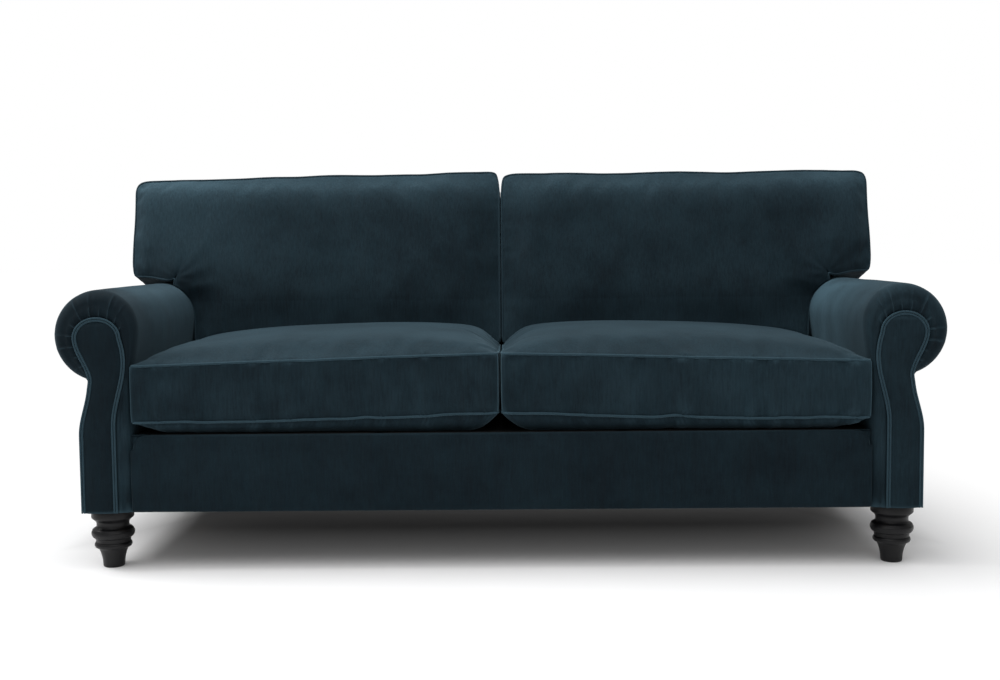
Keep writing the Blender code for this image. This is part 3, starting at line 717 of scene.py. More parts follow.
def cushion_painted_light_and_shade(p):
    """Painted light and shade on a cushion over uneven random sweeps: paler at the far left, along the top
    edge, on the ear and at the right seat's front; darker below the back cushions' tops and over the seat
    tops.
    """
    sweep = 0.085 * wander(p.x, p.y, p.z, 0.15, 30.0) + 0.05 * wander(p.x, p.y, p.z, 0.05, 31.0)
    left = rise(-p.x, 0.48, 0.90) * rise(p.z, ON_BACK_CUSHIONS_Z, 0.8)
    right = rise(p.x, 0.0, 0.3)
    middle = 0.045 * (p.z > ON_BACK_CUSHIONS_Z) * rise(p.z, 0.87, 0.82)
    top = rise(p.z, 0.87, 0.92) * (0.11 if p.x < 0 else 0.06)
    ear = 0.10 * rise(p.x, 0.80, 0.92) * rise(p.z, 0.72, 0.78)
    front = rise(p.y, SEAT_LOW.y + 0.02, SEAT_LOW.y)
    seat_top = rise(p.z, SEAT_TOP_SEAM, SEAT_TOP_SEAM + 0.02) * rise(p.y, 0.10, 0.05)
    shade = sweep + 0.22 * left + (0.12 * right - 0.035) * front
    shade += top + ear - middle - (0.07 + 0.05 * right) * seat_top
    # Painted shade: the boxing under the ear is painted dark
    return mix(shade, -0.86, ear_underside(p))


def ear_underside(p):
    """1 on the boxing under a back cushion's ear, where no light falls, and 0 elsewhere."""
    _, up, out = unlean(*p)
    edge = EAR_UP + 0.009 - EAR_DROOP * tan(INSIDE_RAKE) * out
    below = rise(up, edge, edge - 0.004)
    behind = rise(out, BACK_THICKNESS - 0.004, BACK_THICKNESS - 0.012)
    return below * behind * rise(abs(p.x), 0.87, 0.89) * (p.z > ON_BACK_CUSHIONS_Z)


def add_arm_cover(side):
    """The padded cover of the inside arm, the roll, its pleated front and the strip beside the facing."""
    sections = arm_sections()
    seed = 3.0 if side == "left" else 8.0
    columns = [arm_column(s, seed) for s in sections]
    rows = len(columns[0])
    length_end = rows - CAP_ROWS - 1
    last_rows = {"outside": length_end - LENGTH_ROWS, "wall": length_end}
    verts = [p for column in columns for p in column]
    faces = []
    for c, section in enumerate(sections[1:]):
        for r in range(last_rows.get(section[5], rows - 1)):
            a, b = c * rows + r, (c + 1) * rows + r
            faces.append((a, b, b + 1, a + 1))
    used = sorted({i for face in faces for i in face})
    renumber = {old: new for new, old in enumerate(used)}
    kept = on_side(side, [verts[i] for i in used])
    faces = [[renumber[i] for i in face][:: SIDES[side]] for face in faces]
    stands_for = (f"arm_upholstery_{side}", f"arm_front_pad_{side}")
    piece = add_piece(f"arm_cover_{side}", kept, faces, VELVET, stands_for=stands_for)
    turn_outwards(piece, Vector((SIDES[side] * ROLL_X, 0.0, ROLL_Z)))
    paint_light_and_shade(piece, arm_painted_light_and_shade)
    merge = piece.modifiers.new("closed_end", "WELD")
    merge.merge_threshold = 0.0001
    add_shell(piece, 0.004)


def turn_outwards(piece, inside):
    """Flips an open cover whose faces look towards a point that is inside it."""
    mesh = piece.data
    facing = sum((Vector(f.center) - inside).dot(f.normal) * f.area for f in mesh.polygons)
    if facing < 0:
        mesh.flip_normals()


CORD_RADIUS = 0.0023
CORD_SPACING = 0.0050


def facing_rim(lift):
    """The edge of the facing from its inner base, over the head, to its outer base, at the arm's front."""
    points = [(facing_inner_x(z), z) for z in [BASE_Z] + even(BASE_Z, HEAD_Z, 60)]
    points += [on_head(a) for a in even(pi, 0, 60)]
    points += [(facing_outer_x(z), z) for z in even(HEAD_Z, BASE_Z, 60)]
    return [Vector((x, FACING_LOW.y + lift, z)) for x, z in points]


def inset(rim, distance):
    """The rim moved towards its own inside, keeping its depth."""
    moved = []
    for i, point in enumerate(rim):
        ahead = rim[min(i + 1, len(rim) - 1)]
        behind = rim[max(i - 1, 0)]
        along = (ahead - behind).normalized()
        moved.append(point + Vector((along.z, 0, -along.x)) * distance)
    return moved


FACING_COLUMNS = 26
FACING_BULGE = 0.0068
FACING_SINK = 0.0028
HEAD_ANGLES = even(0, pi / 2 - 0.03, 26)


def add_facing(side):
    """The scroll-shaped facing, softly padded, inside two rows of piping."""
    rows = [(facing_inner_x(z), facing_outer_x(z), z) for z in [BASE_Z] + even(BASE_Z, HEAD_Z, 76)]
    rows += [(on_head(pi - a)[0], *on_head(a)) for a in HEAD_ANGLES]
    verts, faces = [], []
    for x0, x1, z in rows:
        width = max(x1 - x0 - 2 * CORD_RADIUS, 0.001)
        top = rise(z, HEAD_Z + HEAD_HEIGHT, HEAD_Z + HEAD_HEIGHT - 0.02)
        for t in [0] + even(0, 1, FACING_COLUMNS):
            x = x0 + CORD_RADIUS + width * t
            edge = 1 - abs(2 * t - 1) ** 3.2
            crease = 0.0012 * wander(x, 0, z, 0.07, 4.0)
            verts.append(Vector((x, FACING_LOW.y + FACING_SINK - (FACING_BULGE + crease) * edge * top, z)))
    for i in range(len(rows) - 1):
        for j in range(FACING_COLUMNS):
            a = i * (FACING_COLUMNS + 1) + j
            b = a + FACING_COLUMNS + 1
            faces.append((a, a + 1, b + 1, b))
    name = f"arm_facing_pad_{side}"
    piece = add_piece(name, on_side(side, verts), faces, VELVET, stands_for=(f"arm_facing_{side}",))
    turn_outwards(piece, Vector((SIDES[side] * HEAD_X, 0.0, 0.3)))
    paint_light_and_shade(piece, facing_painted_shade)
    add_shell(piece, 0.005)
    rim = facing_rim(lift=0.0002)
    cords = [tube(smoothed(inset(rim, distance), 2), CORD_RADIUS) for distance in (-0.0004, CORD_SPACING)]
    add_mirrored(f"arm_facing_piping_{side}", side, joined(cords), PIPING)


PANEL_LAP = 0.026
BORDER_LAP = 0.005
SKIN = 0.008


def bell(t):
    """A smooth rise and fall between 0 and 1."""
    return sin(pi * min(max(t, 0), 1))


def add_outside_arm(side):
    """The panel below the roll, following the flare of the arm."""

    def shape(p):
        t = share(p.y, PAD_BACK, PANEL_HIGH.y)
        y = mix(PAD_BACK, inside_back_y(p.z) + PANEL_LAP, t)
        bow = 0.003 * bell(t) * bell((p.z - BASE_Z) / 0.3)
        drag = 0.0008 * wander(p.x, y, p.z, 0.11, 5.0)
        return Vector((arm_outside_x(p.z) - SKIN + p.x + (bow + drag) * (p.x / SKIN), y, p.z))

    block = rounded_block((0, PAD_BACK, BASE_Z), (SKIN, PANEL_HIGH.y, PANEL_HIGH.z), 0.003, 0.012, shape)
    stands_for = (f"outside_arm_panel_{side}",)
    add_mirrored(f"outside_arm_cover_{side}", side, block, VELVET, stands_for=stands_for, fill=0.9)
    heights = [BASE_Z] + even(BASE_Z, WAIST_Z, 40)
    seam = [Vector((arm_outside_x(z) + 0.0006, PAD_BACK, z)) for z in heights]
    add_mirrored(f"outside_arm_piping_{side}", side, tube(seam, 0.0022), PIPING)


# ---- seat platform and front border ----

CORNER = 0.033
STEP_BACK = 0.0110
BORDER_SWELL = 0.0030


def add_front_border():
    """The border under the cushions. Its front steps back outside its rounded top corners."""

    def shape(p):
        over_x = abs(p.x) - (BORDER_HIGH.x - CORNER)
        over_z = p.z - (BORDER_HIGH.z - CORNER)
        beyond = hypot(over_x, over_z) - CORNER if over_x > 0 and over_z > 0 else -CORNER
        step = smooth_step((beyond + 0.002) / 0.004) + 0.25 * exp(-((beyond / 0.0035) ** 2))
        front = 1 if p.y < (BORDER_LOW.y + BORDER_HIGH.y) / 2 else 0
        swell = BORDER_SWELL * bell(share(p.z, BORDER_LOW.z, BORDER_HIGH.z)) ** 0.7
        ripple = 0.0011 * wander(p.x, 0, p.z, 0.13, 2.0) + 0.0006 * wander(p.x, 0, p.z * 0.4, 0.035, 6.0)
        return Vector((p.x, p.y + front * (STEP_BACK * step - swell - ripple), p.z))

    lap = Vector((BORDER_LAP, 0, 0))
    block = rounded_block(BORDER_LOW - lap, BORDER_HIGH + lap, 0.0055, 0.0045, shape)
    piece = add_piece("front_border_cover", *block, VELVET, stands_for=("front_border",), fill=0.9)
    # Painted shade: the front border is painted darker, with uneven random nap
    paint_light_and_shade(piece, lambda p: -0.20 + 0.10 * wander(p.x, 0.0, p.z, 0.22, 21.0))


def add_deck():
    """The padded platform under the seat cushions, in lining cloth with two sewn seams."""

    def shape(p):
        seam = min(abs(abs(p.x) - 0.28), 0.02) / 0.02
        dip = 0.0022 * (1 - seam) if p.z > (DECK_LOW.z + DECK_HIGH.z) / 2 else 0.0
        y = mix(DECK_LOW.y, inside_back_y(p.z) - GAP, share(p.y, DECK_LOW.y, DECK_HIGH.y))
        return Vector((p.x, y, p.z - dip - 0.0006 * abs(wander(p.x, p.y, 0, 0.09, 1.0))))

    block = rounded_block(DECK_LOW, DECK_HIGH, 0.008, 0.010, shape)
    add_piece("seat_platform", *block, LINING, slot="lining", stands_for=("seat_deck",), fill=0.8)


FOOT_CLEARANCE = 0.009
CLOTH_SAG = 0.0035


def add_dust_cover():
    """The cloth stapled under the frame, notched round the feet and sagging a little between the rails."""
    low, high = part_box("dust_cover")
    front_low, front_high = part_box("foot_front_right")
    notch = high.x - front_low.x + FOOT_CLEARANCE
    notch_front = front_high.y + FOOT_CLEARANCE
    notch_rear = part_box("foot_rear_right")[0].y - FOOT_CLEARANCE
    xs = [low.x, low.x + notch, *even(low.x + notch, high.x - notch, 40), high.x]
    ys = [low.y, notch_front, *even(notch_front, notch_rear, 16), high.y]
    index, verts, faces = {}, [], []

    def corner(i, j):
        if (i, j) not in index:
            index[i, j] = len(verts)
            across, along = share(xs[i], low.x, high.x), share(ys[j], low.y, high.y)
            sag = CLOTH_SAG * abs(sin(2 * pi * across)) ** 0.8 * sin(pi * along)
            verts.append(Vector((xs[i], ys[j], high.z - sag)))
        return index[i, j]

    for i in range(len(xs) - 1):
        for j in range(len(ys) - 1):
            beside = abs(xs[i] + xs[i + 1]) / 2 > high.x - notch
            if beside and not notch_front < (ys[j] + ys[j + 1]) / 2 < notch_rear:
                continue
            faces.append((corner(i, j), corner(i + 1, j), corner(i + 1, j + 1), corner(i, j + 1)))
    piece = add_piece("dust_cloth", verts, faces, LINING, slot="lining", stands_for=("dust_cover",))
    add_shell(piece, 0.0007)


# ---- back ----

NOTCHED_HALF_WIDTH = 0.8733
INSIDE_DEPTH = 0.035


def add_inside_back():
    """The plain inside back behind the cushions, narrower below the tops of the arms."""
    notch_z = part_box("arm_top_rail_right")[1].z
    narrow = NOTCHED_HALF_WIDTH / INSIDE_HIGH.x

    def shape(p):
        t = (p.y - INSIDE_LOW.y) / INSIDE_DEPTH
        squeeze = mix(narrow, 1.0, rise(p.z, notch_z, notch_z + 0.02))
        seam = min(abs(abs(p.x) - 0.30), 0.03) / 0.03
        swell = (0.004 * seam + 0.0012 * wander(p.x, 0, p.z, 0.12, 9.0)) * (1 - t)
        inwards = min((p.z - INSIDE_LOW.z), (INSIDE_HIGH.z - p.z), 0.05) / 0.05
        y = inside_back_y(p.z) + t * INSIDE_DEPTH + 0.004 * (1 - t) - swell * max(inwards, 0)
        return Vector((p.x * squeeze, y, p.z))

    high = Vector((INSIDE_HIGH.x, INSIDE_LOW.y + INSIDE_DEPTH, INSIDE_HIGH.z))
    block = rounded_block(INSIDE_LOW, high, 0.010, 0.014, shape)
    add_piece("inside_back_cover", *block, VELVET, stands_for=("inside_back_pad",), fill=0.85)


def add_back_top():
    """The padded top of the back."""

    def shape(p):
        y = mix(inside_back_y(p.z), outside_back_y(p.z), share(p.y, TOP_LOW.y, TOP_HIGH.y))
        soft = 0.0015 * wander(p.x, y, p.z, 0.14, 7.0)
        return Vector((p.x, y, p.z + soft * (p.z > (TOP_LOW.z + TOP_HIGH.z) / 2)))

    block = rounded_block(TOP_LOW, TOP_HIGH, 0.0135, 0.014, shape)
    add_piece("back_top_cover", *block, VELVET, stands_for=("back_top_pad",), fill=0.9)


def add_back_end(side):
    """The cover over one end of the back."""

    def shape(p):
        y = mix(inside_back_y(p.z), outside_back_y(p.z) - SKIN - GAP, share(p.y, END_LOW.y, END_HIGH.y))
        soft = 0.0010 * wander(p.x, y, p.z, 0.10, 2.5)
        return Vector((p.x + soft * share(p.x, END_LOW.x, END_HIGH.x), y, p.z))

    block = rounded_block(END_LOW, END_HIGH, 0.0045, 0.012, shape)
    stands_for = (f"back_end_border_{side}",)
    add_mirrored(f"back_end_cover_{side}", side, block, VELVET, stands_for=stands_for, fill=0.9)


def add_outside_back():
    """The plain panel behind, bowed a little, with a welt along its ends and its top."""

    def shape(p):
        t = (p.y - REAR_LOW.y) / SKIN
        u, v = share(p.x, REAR_LOW.x, REAR_HIGH.x), share(p.z, REAR_LOW.z, REAR_HIGH.z)
        bow = 0.004 * (max(0.0, sin(pi * u)) * max(0.0, sin(pi * v))) ** 0.5
        drag = 0.0011 * wander(p.x, 0, p.z * 0.6, 0.09, 11.0) * (1 - abs(2 * v - 1) ** 6)
        return Vector((p.x, outside_back_y(p.z) - SKIN + t * SKIN + (bow + drag - 0.003) * t, p.z))

    high = Vector((REAR_HIGH.x, REAR_LOW.y + SKIN, REAR_HIGH.z))
    block = rounded_block(REAR_LOW, high, 0.003, 0.012, shape)
    add_piece("outside_back_cover", *block, VELVET, stands_for=("outside_back_panel",), fill=0.95)
    edge, base, corner = REAR_HIGH.x - 0.0005, BASE_Z + 0.002, 0.02
    centre_x, centre_z = edge - corner, REAR_HIGH.z - corner
    rim = [(edge, z) for z in [base] + even(base, centre_z, 60)]
    rim += [(centre_x + corner * cos(a), centre_z + corner * sin(a)) for a in even(0, pi / 2, 8)]
    rim += [(x, REAR_HIGH.z) for x in even(centre_x, -centre_x, 160)]
    rim += [(corner * cos(a) - centre_x, centre_z + corner * sin(a)) for a in even(pi / 2, pi, 8)]
    rim += [(-edge, z) for z in even(centre_z, base, 60)]
    path = [Vector((x, outside_back_y(z) - 0.0015, z)) for x, z in rim]
    add_piece("outside_back_piping", *tube(path, CORD_RADIUS), PIPING)


# ---- feet ----

FOOT_SIDES = 72


def foot_profile(top):
    """Radius and height from the base up: taper, ring, pinch, bun with two lines, neck and flange."""

    def arc(r, z, wide, tall, reach, steps):
        """An arc round r, z, bulging outwards, from -reach to reach."""
        angles = [-reach] + even(-reach, reach, steps)
        return [(r + wide * cos(a), z + tall * sin(a)) for a in angles]

    taper = [(0.0215, 0.0), (0.0232, 0.0008), (0.0246, 0.0030), (0.0250, 0.0080), (0.0254, 0.0140)]
    taper += [(0.0262, 0.0200), (0.0276, 0.0270), (0.0298, 0.0345), (0.0322, 0.0405), (0.0348, 0.0452)]
    ring = arc(0.0360, 0.0530, 0.0068, 0.0072, radians(64), 14)
    bun = arc(0.0385, 0.0810, 0.0108, 0.0125, radians(78), 26)
    lines = []
    for r, z in bun:
        groove = sum(exp(-(((z - at) / 0.0009) ** 2)) for at in (0.0755, 0.0870))
        lines.append((r - 0.0007 * groove, z))
    neck = [(0.0378, 0.0960), (0.0371, 0.1000), (0.0371, 0.1035), (0.0378, 0.1068)]
    flare = [(0.0398, 0.1098), (0.0432, 0.1130), (0.0468, 0.1158), (0.0484, 0.1180), (0.0486, 0.1215)]
    return taper + ring + lines + neck + flare + [(0.0486, top - 0.0015), (0.0478, top)]


def add_feet():
    """Four feet, each turned round its own axis."""
    turns = [2 * pi * k / FOOT_SIDES for k in range(FOOT_SIDES)]
    circle = [(cos(a), sin(a)) for a in turns]
    for name in [f"foot_{end}_{side}" for end in ("front", "rear") for side in SIDES]:
        low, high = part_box(name)
        centre = (low + high) / 2
        profile = foot_profile(high.z)
        verts = [Vector((centre.x + r * x, centre.y + r * y, z)) for r, z in profile for x, y in circle]
        faces = ring_faces(len(profile), FOOT_SIDES)
        piece = add_piece(f"turned_{name}", verts, faces, FOOT_PAINT, slot="foot_wood", stands_for=(name,))
        piece.data.set_sharp_from_angle(angle=radians(50))


# ---- cushions ----

# Seams, sizes and settling of the seat cushions
SEAT_OUTER = SEAT_HIGH.x
SEAT_INNER = SEAT_LOW.x
SEAT_BACK = inside_back_y(DECK_TOP) - 0.002
SEAT_BOTTOM_SEAM = 0.345
SEAT_TOP_SEAM = 0.476
SEAT_STEP = 0.0098
SEAT_INSET = 0.008
SEAT_CROWN = 0.036
SEAT_BELLY = 0.022
BELLY_DEPTH = 0.030
INNER_SAG = 0.030
INNER_SHOULDER = 0.11
INNER_RISE = 0.023
CREASE_DEPTH = 0.0045
CREASE_LENGTH = 0.15
CREASE_WIDTH = 0.042
FRONT_FADE = 0.012
FRONT_FLARE = 0.007
SEAT_SIDE_X = 0.8425

# The back cushions, in widths, lengths up the inside back and distances out from it
BACK_REST_Z = CUSHION_LOW.z
LEAN_Y = inside_back_y(BACK_REST_Z) - 2 * GAP
BACK_THICKNESS = 0.185
BACK_UP = 0.4315
BACK_STEP = 0.0095
BACK_INSET = 0.010
BODY_X = 0.829
EAR_X = CUSHION_HIGH.x
EAR_UP = 0.1714
EAR_NOTCH_UP = EAR_UP + 0.006
EAR_EDGE_UP = EAR_UP - 0.0065
INNER_EDGE_X = 0.0050
SEAM_OUT = 0.010
EAR_DROOP = 0.83
NOTCH_SHIFT = 0.060
NOTCH_FADE = 0.24
CROWN_CLEAR = 0.0015
FOOT_PUSH = 0.010
FOOT_SAG = 0.050
FOOT_HEIGHT = 0.110
TOP_ROLL = 0.012
TOP_ROLL_HEIGHT = 0.095
TOP_WAVER = 0.004
TOP_TAPER = 0.012
TOP_EDGE_UP = BACK_UP + 0.003
MIDDLE_CLOSE = 0.007
DRAG_DEPTH = 0.0009
CORNER_FULLNESS = 0.020
FLOOR_SLOPE = 0.090
PRESS_FADE = 0.045
PRESS_DEPTH = 0.007

# How far the outer end of the top sags, by the sign of the cushion's side
END_DROOP = {-1: 0.016, 1: 0.001}

# Stuffing, easing and trim of both
SIM_FRAMES = 20
STUFFING = {
    "quality": 5,
    "mass": 0.3,
    "tension_stiffness": 28,
    "compression_stiffness": 28,
    "shear_stiffness": 8,
    "bending_stiffness": 1.2,
    "use_pressure": True,
    "uniform_pressure_force": 4.0,
    "vertex_group_shrink": "seams",
    "shrink_min": 0.0,
    "shrink_max": 0.030,
    "vertex_group_mass": "held",
    "pin_stiffness": 0.5,
}
MOST_MOVE = {"seat": 0.019, "back": 0.026}
PUCKERS = {"seat": (0.0085, 0.032), "back": (0.0014, 0.024)}
EASED_CORNER = 0.09
CALM_REACH = 0.13
CALM_ROUNDS = 45
SIDE_REACH = 0.11
SIDE_SPRING = 0.92
PIPING_RADIUS = 0.0029
CORNER_SEAM_RADIUS = 0.0014
BACK_PIPING_SHADE = -0.55
POINTS_AT_ONCE = 4000


class Cushion:
    """A boxed cushion as a grid: two faces joined by a boxing, with its sewn edges kept as loops."""

    def __init__(self, name, us, vs, ws, filled, place):
        self.name, self.place = name, place
        self.inner_corner = None
        self.index, self.flat, self.faces = {}, [], []
        self.counts = (len(us) - 1, len(vs) - 1)
        self.us, self.vs, self.ws = us, vs, ws
        top = len(ws) - 1
        cells = [(i, j) for i in range(len(us) - 1) for j in range(len(vs) - 1) if filled(i, j)]
        inside = set(cells)
        step = {}
        for i, j in cells:
            around = [(i, j), (i + 1, j), (i + 1, j + 1), (i, j + 1)]
            for k in (0, top):
                self.add_face((*c, k) for c in around)
            neighbours = [(i, j - 1), (i + 1, j), (i, j + 1), (i - 1, j)]
            for a, b, beyond in zip(around, around[1:] + around[:1], neighbours):
                if beyond in inside:
                    continue
                step[a] = b
                for k in range(top):
                    self.add_face([(*a, k), (*b, k), (*b, k + 1), (*a, k + 1)])
        start = min(step)
        ring = [start]
        while step[ring[-1]] != start:
            ring.append(step[ring[-1]])
        self.ring = ring
        self.loops = [[self.index[i, j, k] for i, j in ring] for k in (0, top)]
        self.start = np.array([place(*p) for p in self.flat])

    def seams(self):
        return self.loops[0] + self.loops[1]

    def gathered(self):
        """The seam vertices that are drawn up, which leaves out those round an inner corner."""
        if self.inner_corner is None:
            return self.seams()
        u, v = self.inner_corner
        places = {n: self.flat[n][:2] for n in self.seams()}
        free = {n: (x, y) for n, (x, y) in places.items() if x > self.us[0]}
        return [n for n, (x, y) in free.items() if hypot(x - u, y - v) > EASED_CORNER]

    def run(self, belongs):
        """The seam vertices of one stretch of the sewn edge, for each of the two faces."""
        stretch = [(i, j) for i, j in self.ring if belongs(i, j)]
        return [np.array([self.index[i, j, k] for i, j in stretch]) for k in (0, len(self.ws) - 1)]

    def add_face(self, keys):
        face = []
        for i, j, k in keys:
            if (i, j, k) not in self.index:
                self.index[i, j, k] = len(self.flat)
                self.flat.append((self.us[i], self.vs[j], self.ws[k]))
            face.append(self.index[i, j, k])
        self.faces.append(face)


def cells_between(low, high, step, stops=()):
    """Grid lines from low to high about `step` apart, with a line exactly at each stop."""
    marks = [low, *stops, high]
    lines = [low]
    for a, b in zip(marks, marks[1:]):
        lines += even(a, b, max(1, round((b - a) / step)))
    return lines


def round_plan(u, v, corners):
    """Pulls a point near a corner of the plan onto a rounded one. corners: (u, v, su, sv, radius)."""
    for cu, cv, su, sv, radius in corners:
        du, dv = (u - cu) * su + radius, (v - cv) * sv + radius
        if du > 0 and dv > 0:
            scale = max(du, dv) / hypot(du, dv)
            return cu + (du * scale - radius) * su, cv + (dv * scale - radius) * sv
    return u, v


def read_vectors(mesh, name):
    """The places or the normals of a mesh's vertices."""
    values = np.empty(len(mesh.vertices) * 3)
    mesh.vertices.foreach_get(name, values)
    return values.reshape(-1, 3)


def stuff(objects):
    """Inflates the sewn covers together by cloth simulation: seams shrink, panels swell."""
    scene = bpy.context.scene
    for piece, seams, gathered in objects:
        piece.vertex_groups.new(name="seams").add(gathered, 1.0, "REPLACE")
        pinned = piece.vertex_groups.new(name="held")
        pinned.add(list(range(len(piece.data.vertices))), 0.02, "REPLACE")
        pinned.add(seams, 0.10, "REPLACE")
        cloth = piece.modifiers.new("stuffing", "CLOTH")
        for name, value in STUFFING.items():
            setattr(cloth.settings, name, value)
        cloth.settings.effector_weights.gravity = 0
        cloth.collision_settings.use_collision = False
        cloth.point_cache.frame_start = 1
        cloth.point_cache.frame_end = SIM_FRAMES
    for number in range(1, SIM_FRAMES + 1):
        scene.frame_set(number)
    graph = bpy.context.evaluated_depsgraph_get()
    results = [read_vectors(piece.evaluated_get(graph).to_mesh(), "co") for piece, *_ in objects]
    for piece, *_ in objects:
        piece.modifiers.clear()
        piece.vertex_groups.clear()
    scene.frame_set(1)
    return results


def seat_cushion_grid(side):
    """A plain box cushion, crowned above and bellied below."""
    sign = SIDES[side]
    us = cells_between(SEAT_INNER + 0.003, SEAT_OUTER - SEAT_INSET, SEAT_STEP)
    vs = cells_between(SEAT_LOW.y + SEAT_INSET, SEAT_BACK - SEAT_INSET, SEAT_STEP)
    ws = cells_between(SEAT_BOTTOM_SEAM, SEAT_TOP_SEAM, 0.011)
    ends = ((0, -1), (-1, 1))
    corners = [(us[a], vs[b], sa, sb, 0.011) for a, sa in ends for b, sb in ends]

    def place(u, v, w):
        across = 2 * share(u, us[0], us[-1]) - 1
        along = 2 * share(v, vs[0], vs[-1]) - 1
        if w == ws[-1]:
            w += SEAT_CROWN * ((1 - abs(across) ** 2.6) * (1 - abs(along) ** 3.2)) ** 0.85
        elif w == ws[0]:
            w -= SEAT_BELLY * ((1 - abs(across) ** 9) * (1 - abs(along) ** 14)) ** 0.65
        u, v = round_plan(u, v, corners)
        return sign * u, v, w

    return Cushion(f"seat_cushion_cover_{side}", us, vs, ws, lambda i, j: True, place)


def arm_side(z):
    """Where the arm's inner side stands at a height: upright, then round the roll."""
    height = np.clip((np.asarray(z) - SWELL_PEAK_Z) / CROWN_HEIGHT, 0, 0.995)
    return ROLL_X - CROWN_WIDTH * np.sqrt(1 - height**2) - CROWN_CLEAR


def notch_shift(z):
    """How far the side of a back cushion's body moves out over the roll at a height."""
    return np.minimum(arm_side(z) - arm_side(0.0), NOTCH_SHIFT)


def beside_arm(x, z):
    """Widens a back cushion's body so that its side follows the roll."""
    near = smooth(1 - (BODY_X - x) / NOTCH_FADE)
    far = smooth((EAR_X - x) / (EAR_X - BODY_X))
    return x + notch_shift(z) * np.where(x < BODY_X, near, far)


def clear_of_arm(x, z):
    """Pushes points of a back cushion out of the arm."""
    low = np.where(z < SWELL_PEAK_Z, np.minimum(x, ARM_LOW.x + 0.002), x)
    outer = x > ROLL_X
    centre = np.where(outer, ROLL_Z, SWELL_PEAK_Z)
    wide = np.where(outer, ROLL_RADIUS, CROWN_WIDTH) + CROWN_CLEAR
    tall = np.where(outer, ROLL_RADIUS, CROWN_HEIGHT) + CROWN_CLEAR
    dx, dz = (low - ROLL_X) / wide, (z - centre) / tall
    depth = np.maximum(np.hypot(dx, dz), 0.05)
    inside = (depth < 1) & (z > centre)
    scale = np.where(inside, 1 / depth, 1.0)
    return ROLL_X + (low - ROLL_X) * scale, np.where(inside, centre + (z - centre) * scale, z)


def lean(x, up, out):
    """A point of a back cushion, from its own width, length up the inside back and distance out from it."""
    y = LEAN_Y + up * sin(INSIDE_RAKE) - out * cos(INSIDE_RAKE)
    z = BACK_REST_Z + up * cos(INSIDE_RAKE) + out * sin(INSIDE_RAKE)
    return x, y, z


def leaned(x, up, out):
    """The same for many points, as one array."""
    return np.stack(lean(x, up, out), axis=1)


def unlean(x, y, z):
    """Width, length up and distance out, from the place of a point of a back cushion or of several."""
    y, z = y - LEAN_Y, z - BACK_REST_Z
    up = y * sin(INSIDE_RAKE) + z * cos(INSIDE_RAKE)
    return x, up, z * sin(INSIDE_RAKE) - y * cos(INSIDE_RAKE)


def back_cushion_grid(side):
    """A cushion with an ear over the arm, leaning on the inside back."""
    sign = SIDES[side]
    body_edge = BODY_X - BACK_INSET
    us = cells_between(0.0045, EAR_X - BACK_INSET, BACK_STEP, (body_edge,))
    vs = cells_between(0.008, BACK_UP - BACK_INSET, BACK_STEP, (EAR_NOTCH_UP,))
    ws = cells_between(0.020, BACK_THICKNESS - 0.018, 0.012)
    body = int(np.abs(np.array(us) - body_edge).argmin())
    ear = int(np.abs(np.array(vs) - EAR_NOTCH_UP).argmin())
    corners = [(us[0], vs[-1], -1, 1, 0.008), (us[-1], vs[-1], 1, 1, 0.013)]
    for u, v, su in ((us[-1], vs[ear], 1), (us[body], vs[0], 1), (us[0], vs[0], -1)):
        corners.append((u, v, su, -1, 0.013))

    def place(u, v, w):
        u, v = round_plan(u, v, corners)
        _, _, height = lean(u, v, w)
        return lean(sign * float(beside_arm(u, height)), v, w)

    grid = Cushion(f"back_cushion_cover_{side}", us, vs, ws, lambda i, j: i < body or j >= ear, place)
    grid.inner_corner = (us[body], vs[ear])
    grid.body, grid.ear = body, ear
    return grid


def cap_moves(grid, moved, most):
    """Limits how far each point has moved, easing towards the limit."""
    move = moved - grid.start
    length = np.linalg.norm(move, axis=1, keepdims=True)
    eased = most * np.tanh(length / most)
    return grid.start + move * eased / np.maximum(length, 1e-9)


def calmed(grid, moved):
    """Evens out the stuffing's wrinkles beside the arm and along the foot of a back cushion."""
    flat = np.array(grid.flat)
    corner_u, corner_v = grid.inner_corner
    beyond = np.maximum(flat[:, 1] - corner_v, 0)
    beside = np.hypot(flat[:, 0] - corner_u, beyond)
    nearest = np.minimum(beside, flat[:, :2].min(axis=1))
    calm = smooth(1.25 * (1 - nearest / CALM_REACH))
    pairs = {tuple(sorted((face[i - 1], face[i]))) for face in grid.faces for i in range(4)}
    a, b = np.array(sorted(pairs)).T
    degree = np.bincount(np.concatenate([a, b]), minlength=len(flat))[:, None]
    move = moved - grid.start
    for _ in range(CALM_ROUNDS):
        total = np.zeros_like(move)
        np.add.at(total, a, move[b])
        np.add.at(total, b, move[a])
        move = mix(move, total / degree, 0.6 * calm[:, None])
    return grid.start + move


def fitted(values, seams, low, high):
    """Stretches one direction so that the shrunken seams reach from low to high again."""
    least, most = values[seams].min(), values[seams].max()
    return low + (values - least) * (high - low) / (most - least)


